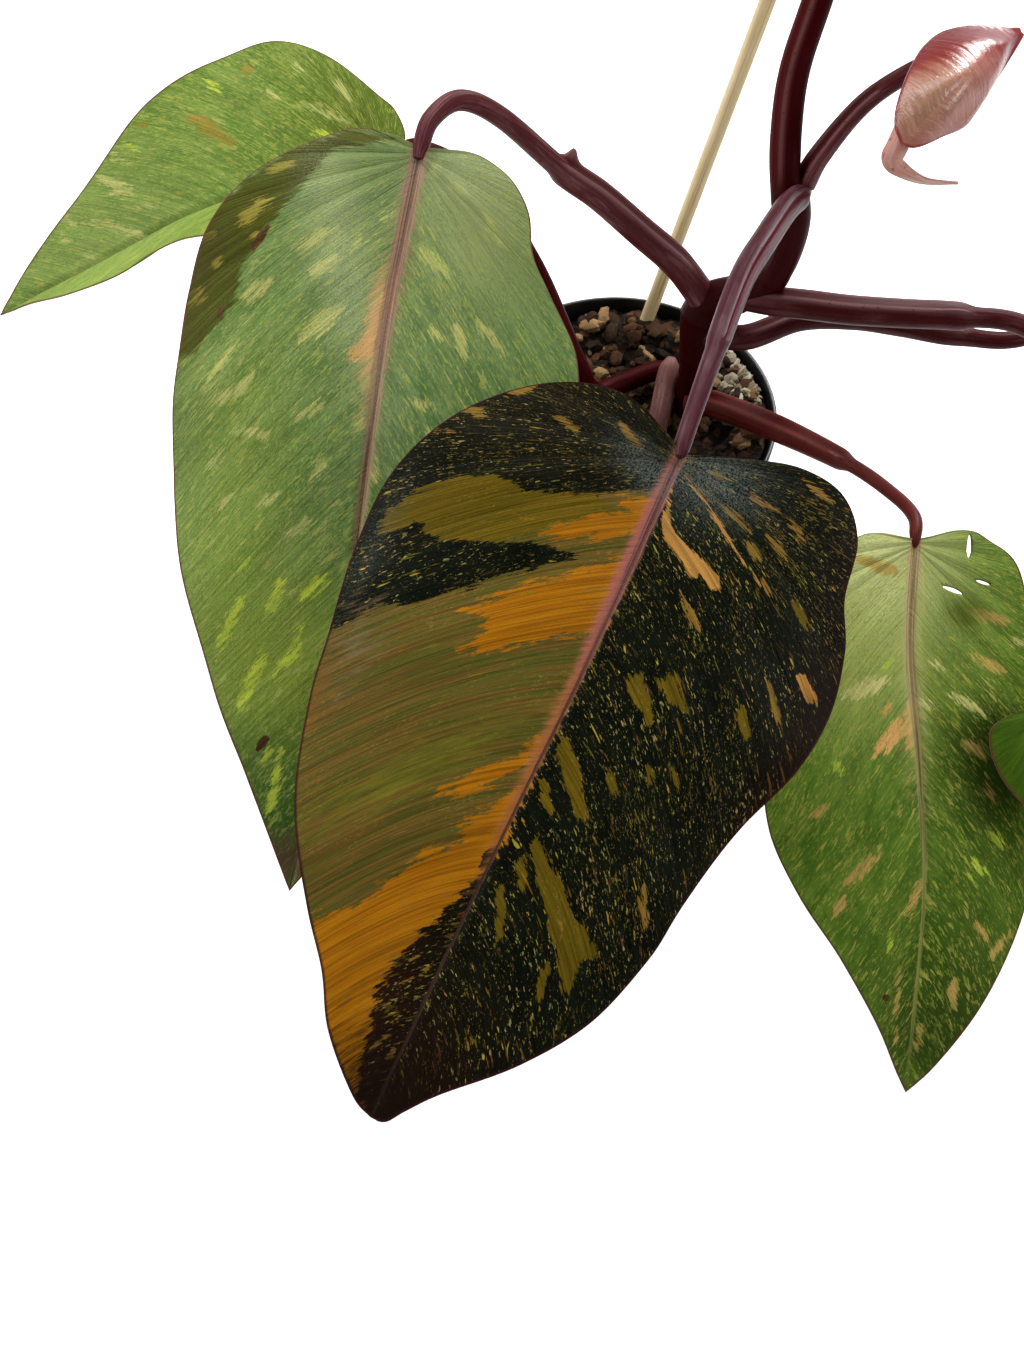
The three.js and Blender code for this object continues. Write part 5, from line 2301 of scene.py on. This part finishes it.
PETIOLES = [
    Stalk(
        name="top_leaf_petiole",
        path=[
            (47, -3, 212), (44, -5, 222), (42, 4, 238), (42.5, 13, 252), (46.5, 21, 269), (53, 31, 300),
            (59, 42, 332), (64.6, 54.6, 347.2),
        ],
        diameters=[(0, 9), (0.15, 10), (0.5, 9), (0.55, 7.5), (1, 6)],
        finish=MAROON,
        opening=(-0.8, -0.6, 0),
        sheath=Sheath(0.1, 0.53, ear=0.2),
    ),
    Stalk(
        name="front_leaf_petiole",
        path=[
            (51, -6, 223), (43, -16, 225), (33, -35, 228), (23, -55, 229.5), (10.5, -90, 231.5),
            (0.6, -118.5, 230.3), (-0.8, -123, 228),
        ],
        diameters=[(0, 3), (0.04, 8.5), (0.35, 8.4), (0.66, 7.2), (0.69, 6), (0.9, 5.1), (0.98, 4.8), (1, 3)],
        finish=DUSKY,
        opening=(0.75, 0, 0.65),
        sheath=Sheath(0.06, 0.67, depth=0.25, lip=0.06, ear=0.25, width=20),
    ),
    Stalk(
        name="new_leaf_petiole",
        path=[
            (50.5, -2, 223), (53.5, -0.5, 232), (64, 5, 245.3), (76.2, 8, 254), (94, 15, 258),
            (103, 16, 259), (106.5, 13.5, 261),
        ],
        diameters=[(0, 8), (0.3, 6.4), (0.9, 4.8), (1, 3)],
        finish=BLUSH,
        sheath=Sheath(0.0, 0.45, lip=0.08, ear=0.0),
    ),
    Stalk(
        name="left_leaf_petiole",
        path=[
            (27, 9, 165), (15, 10.3, 180), (0, 11, 193.5), (-16, 11, 208.3), (-30, 9, 220.3),
            (-50, 3.5, 242.6), (-62.5, -3, 252.7), (-71, -12.5, 253), (-74.2, -19.5, 248.8),
            (-75, -22.5, 246.8),
        ],
        diameters=[(0, 11.5), (0.35, 10.2), (0.52, 9.4), (0.54, 7), (0.8, 6.2), (0.97, 5.4), (1, 3)],
        finish=BLUSH,
        sheath=Sheath(0.1, 0.53, ear=0.7),
    ),
    Stalk(
        name="right_edge_leaf_petiole",
        path=[
            (40, 3, 171.5), (50, -4.5, 175.5), (62, -9.3, 178), (76, -14, 180), (95, -18, 182),
            (112, -22, 184.5), (134, -28.5, 186), (152, -56, 187), (159, -98, 185), (151, -134, 172),
            (132, -156.5, 148.5),
        ],
        diameters=[(0, 10.5), (0.1, 10.3), (0.31, 9.6), (0.33, 7), (1, 5)],
        finish=RUDDY,
        sheath=Sheath(0.05, 0.32, ear=0.4),
    ),
    Stalk(
        name="back_right_leaf_petiole",
        path=[
            (30, 6, 150), (45, -1.5, 155), (65, 3.5, 159.5), (85, 2.5, 161), (103, -1.5, 161),
            (124, -7.5, 161.3), (147, -10.5, 163.3), (176, -2, 173), (203, 16, 185),
        ],
        diameters=[(0, 10), (0.3, 9.2), (0.5, 8), (0.56, 6.6), (1, 5.2)],
        finish=RUDDY,
        sheath=Sheath(0.1, 0.53),
    ),
    Stalk(
        name="right_leaf_petiole",
        path=[
            (29, 1, 116), (38, -6, 122), (59.5, -28.5, 132.5), (79.2, -57, 146), (89, -77.3, 154.3),
            (92, -91.5, 160.3), (90.5, -101, 161.5), (90, -104, 159.5),
        ],
        diameters=[(0, 11), (0.35, 10.2), (0.58, 8), (0.61, 5.2), (0.96, 4.4), (1, 2.6)],
        finish=RUSSET,
        sheath=Sheath(0.05, 0.59),
    ),
    Stalk(
        name="back_left_leaf_petiole",
        path=[
            (29, 11, 111), (19, 22, 113), (1, 16, 112), (-12, 9, 115), (-20, 12, 130), (-37, 37, 156),
            (-59, 46, 188), (-80, 42, 205), (-88.6, 35.2, 206.6),
        ],
        diameters=[(0, 9), (0.3, 8), (0.5, 7), (1, 5.4)],
        finish=MAROON,
    ),
]

STEM = Stalk(
    name="stem",
    path=[
        (31, 6, 88), (30, 7, 130), (28, 9, 160), (40, 4, 172), (48.5, -1, 183), (51, -3, 204),
        (47.5, -3, 226),
    ],
    diameters=[
        (0, 14), (0.28, 15), (0.44, 15.5), (0.54, 14), (0.62, 14), (0.7, 11), (0.9, 10.5), (0.98, 8), (1, 4),
    ],
    finish=NODE_SKIN,
    slot="stem",
    rings=[(0.2, 0.08), (0.33, 0.09), (0.47, 0.1), (0.6, 0.08), (0.72, 0.08)],
)

STUB = Stalk(
    name="petiole_stub",
    path=[(14, -10, 97), (17, 2, 112), (21, 18, 125)],
    diameters=[(0, 8.5), (0.8, 9.4), (0.9, 8.6), (0.97, 6), (1, 2)],
    finish=STUB_SKIN,
)

STAKE = Stalk(
    name="stake",
    path=[(-9, 34.5, 20), (26, 64, 160), (61, 93.5, 300)],
    diameters=[(0, 6.5), (1, 5.8)],
    finish=CaneFinish(),
    slot="bamboo",
    sides=24,
)

NEW_LEAF_TAIL = Stalk(
    name="new_leaf_tail",
    path=[
        (70, -22, 258), (68, -25, 252.5), (67.5, -25.5, 249.5), (70, -26, 246.5), (78.5, -28, 243.5),
        (89, -28.5, 243),
    ],
    diameters=[(0, 6), (0.3, 6), (0.5, 4), (0.7, 2.2), (1, 1)],
    finish=TAIL_SKIN,
    slot="new_blade",
    spacing=0.6,
    flatten=1.3,
    stands_for="new_leaf_blade",
)

SOIL = Soil(
    heaps=[
        Heap("bark_chips", 430, (4, 12), (0.3, 0.6), (0, 0), 58, 0.35, BARK, 11),
        Heap("white_grit", 120, (3, 7.5), (0.6, 0.9), (47, 20), 19, 0.3, GRIT, 12),
        Heap("scattered_grit", 14, (2.5, 4.5), (0.6, 0.9), (0, 20), 50, 0.3, GRIT, 13),
    ]
)

STUDIO = Studio(
    lamps=[
        Lamp("back_window", (-0.3, 1.1, 1.7), (0, -0.05, 0.15), 1.6, 44),
        Lamp("left_panel", (-1.6, -0.5, 1.3), (0, -0.05, 0.15), 1.0, 20),
        Lamp("right_panel", (1.6, -0.6, 1.3), (0, -0.05, 0.15), 1.0, 20),
        Lamp("left_strip", (-1.0, 0.5, 0.9), (0.05, 0, 0.2), 0.25, 5),
        Lamp("new_leaf_spot", (0.26, 0.37, 0.52), (0.09, -0.02, 0.26), 0.2, 4.2),
    ],
)


def main() -> None:
    """Builds the plant and the studio round it."""
    logging.basicConfig(level=logging.INFO, format="%(name)s: %(message)s")
    Pot().build()
    SOIL.build()
    for stalk in [STEM, STUB, STAKE, *PETIOLES]:
        stalk.build()
    for blade in BLADES:
        blade.build()
    NEW_LEAF_TAIL.build()
    STUDIO.build()


if __name__ == "__main__":
    main()
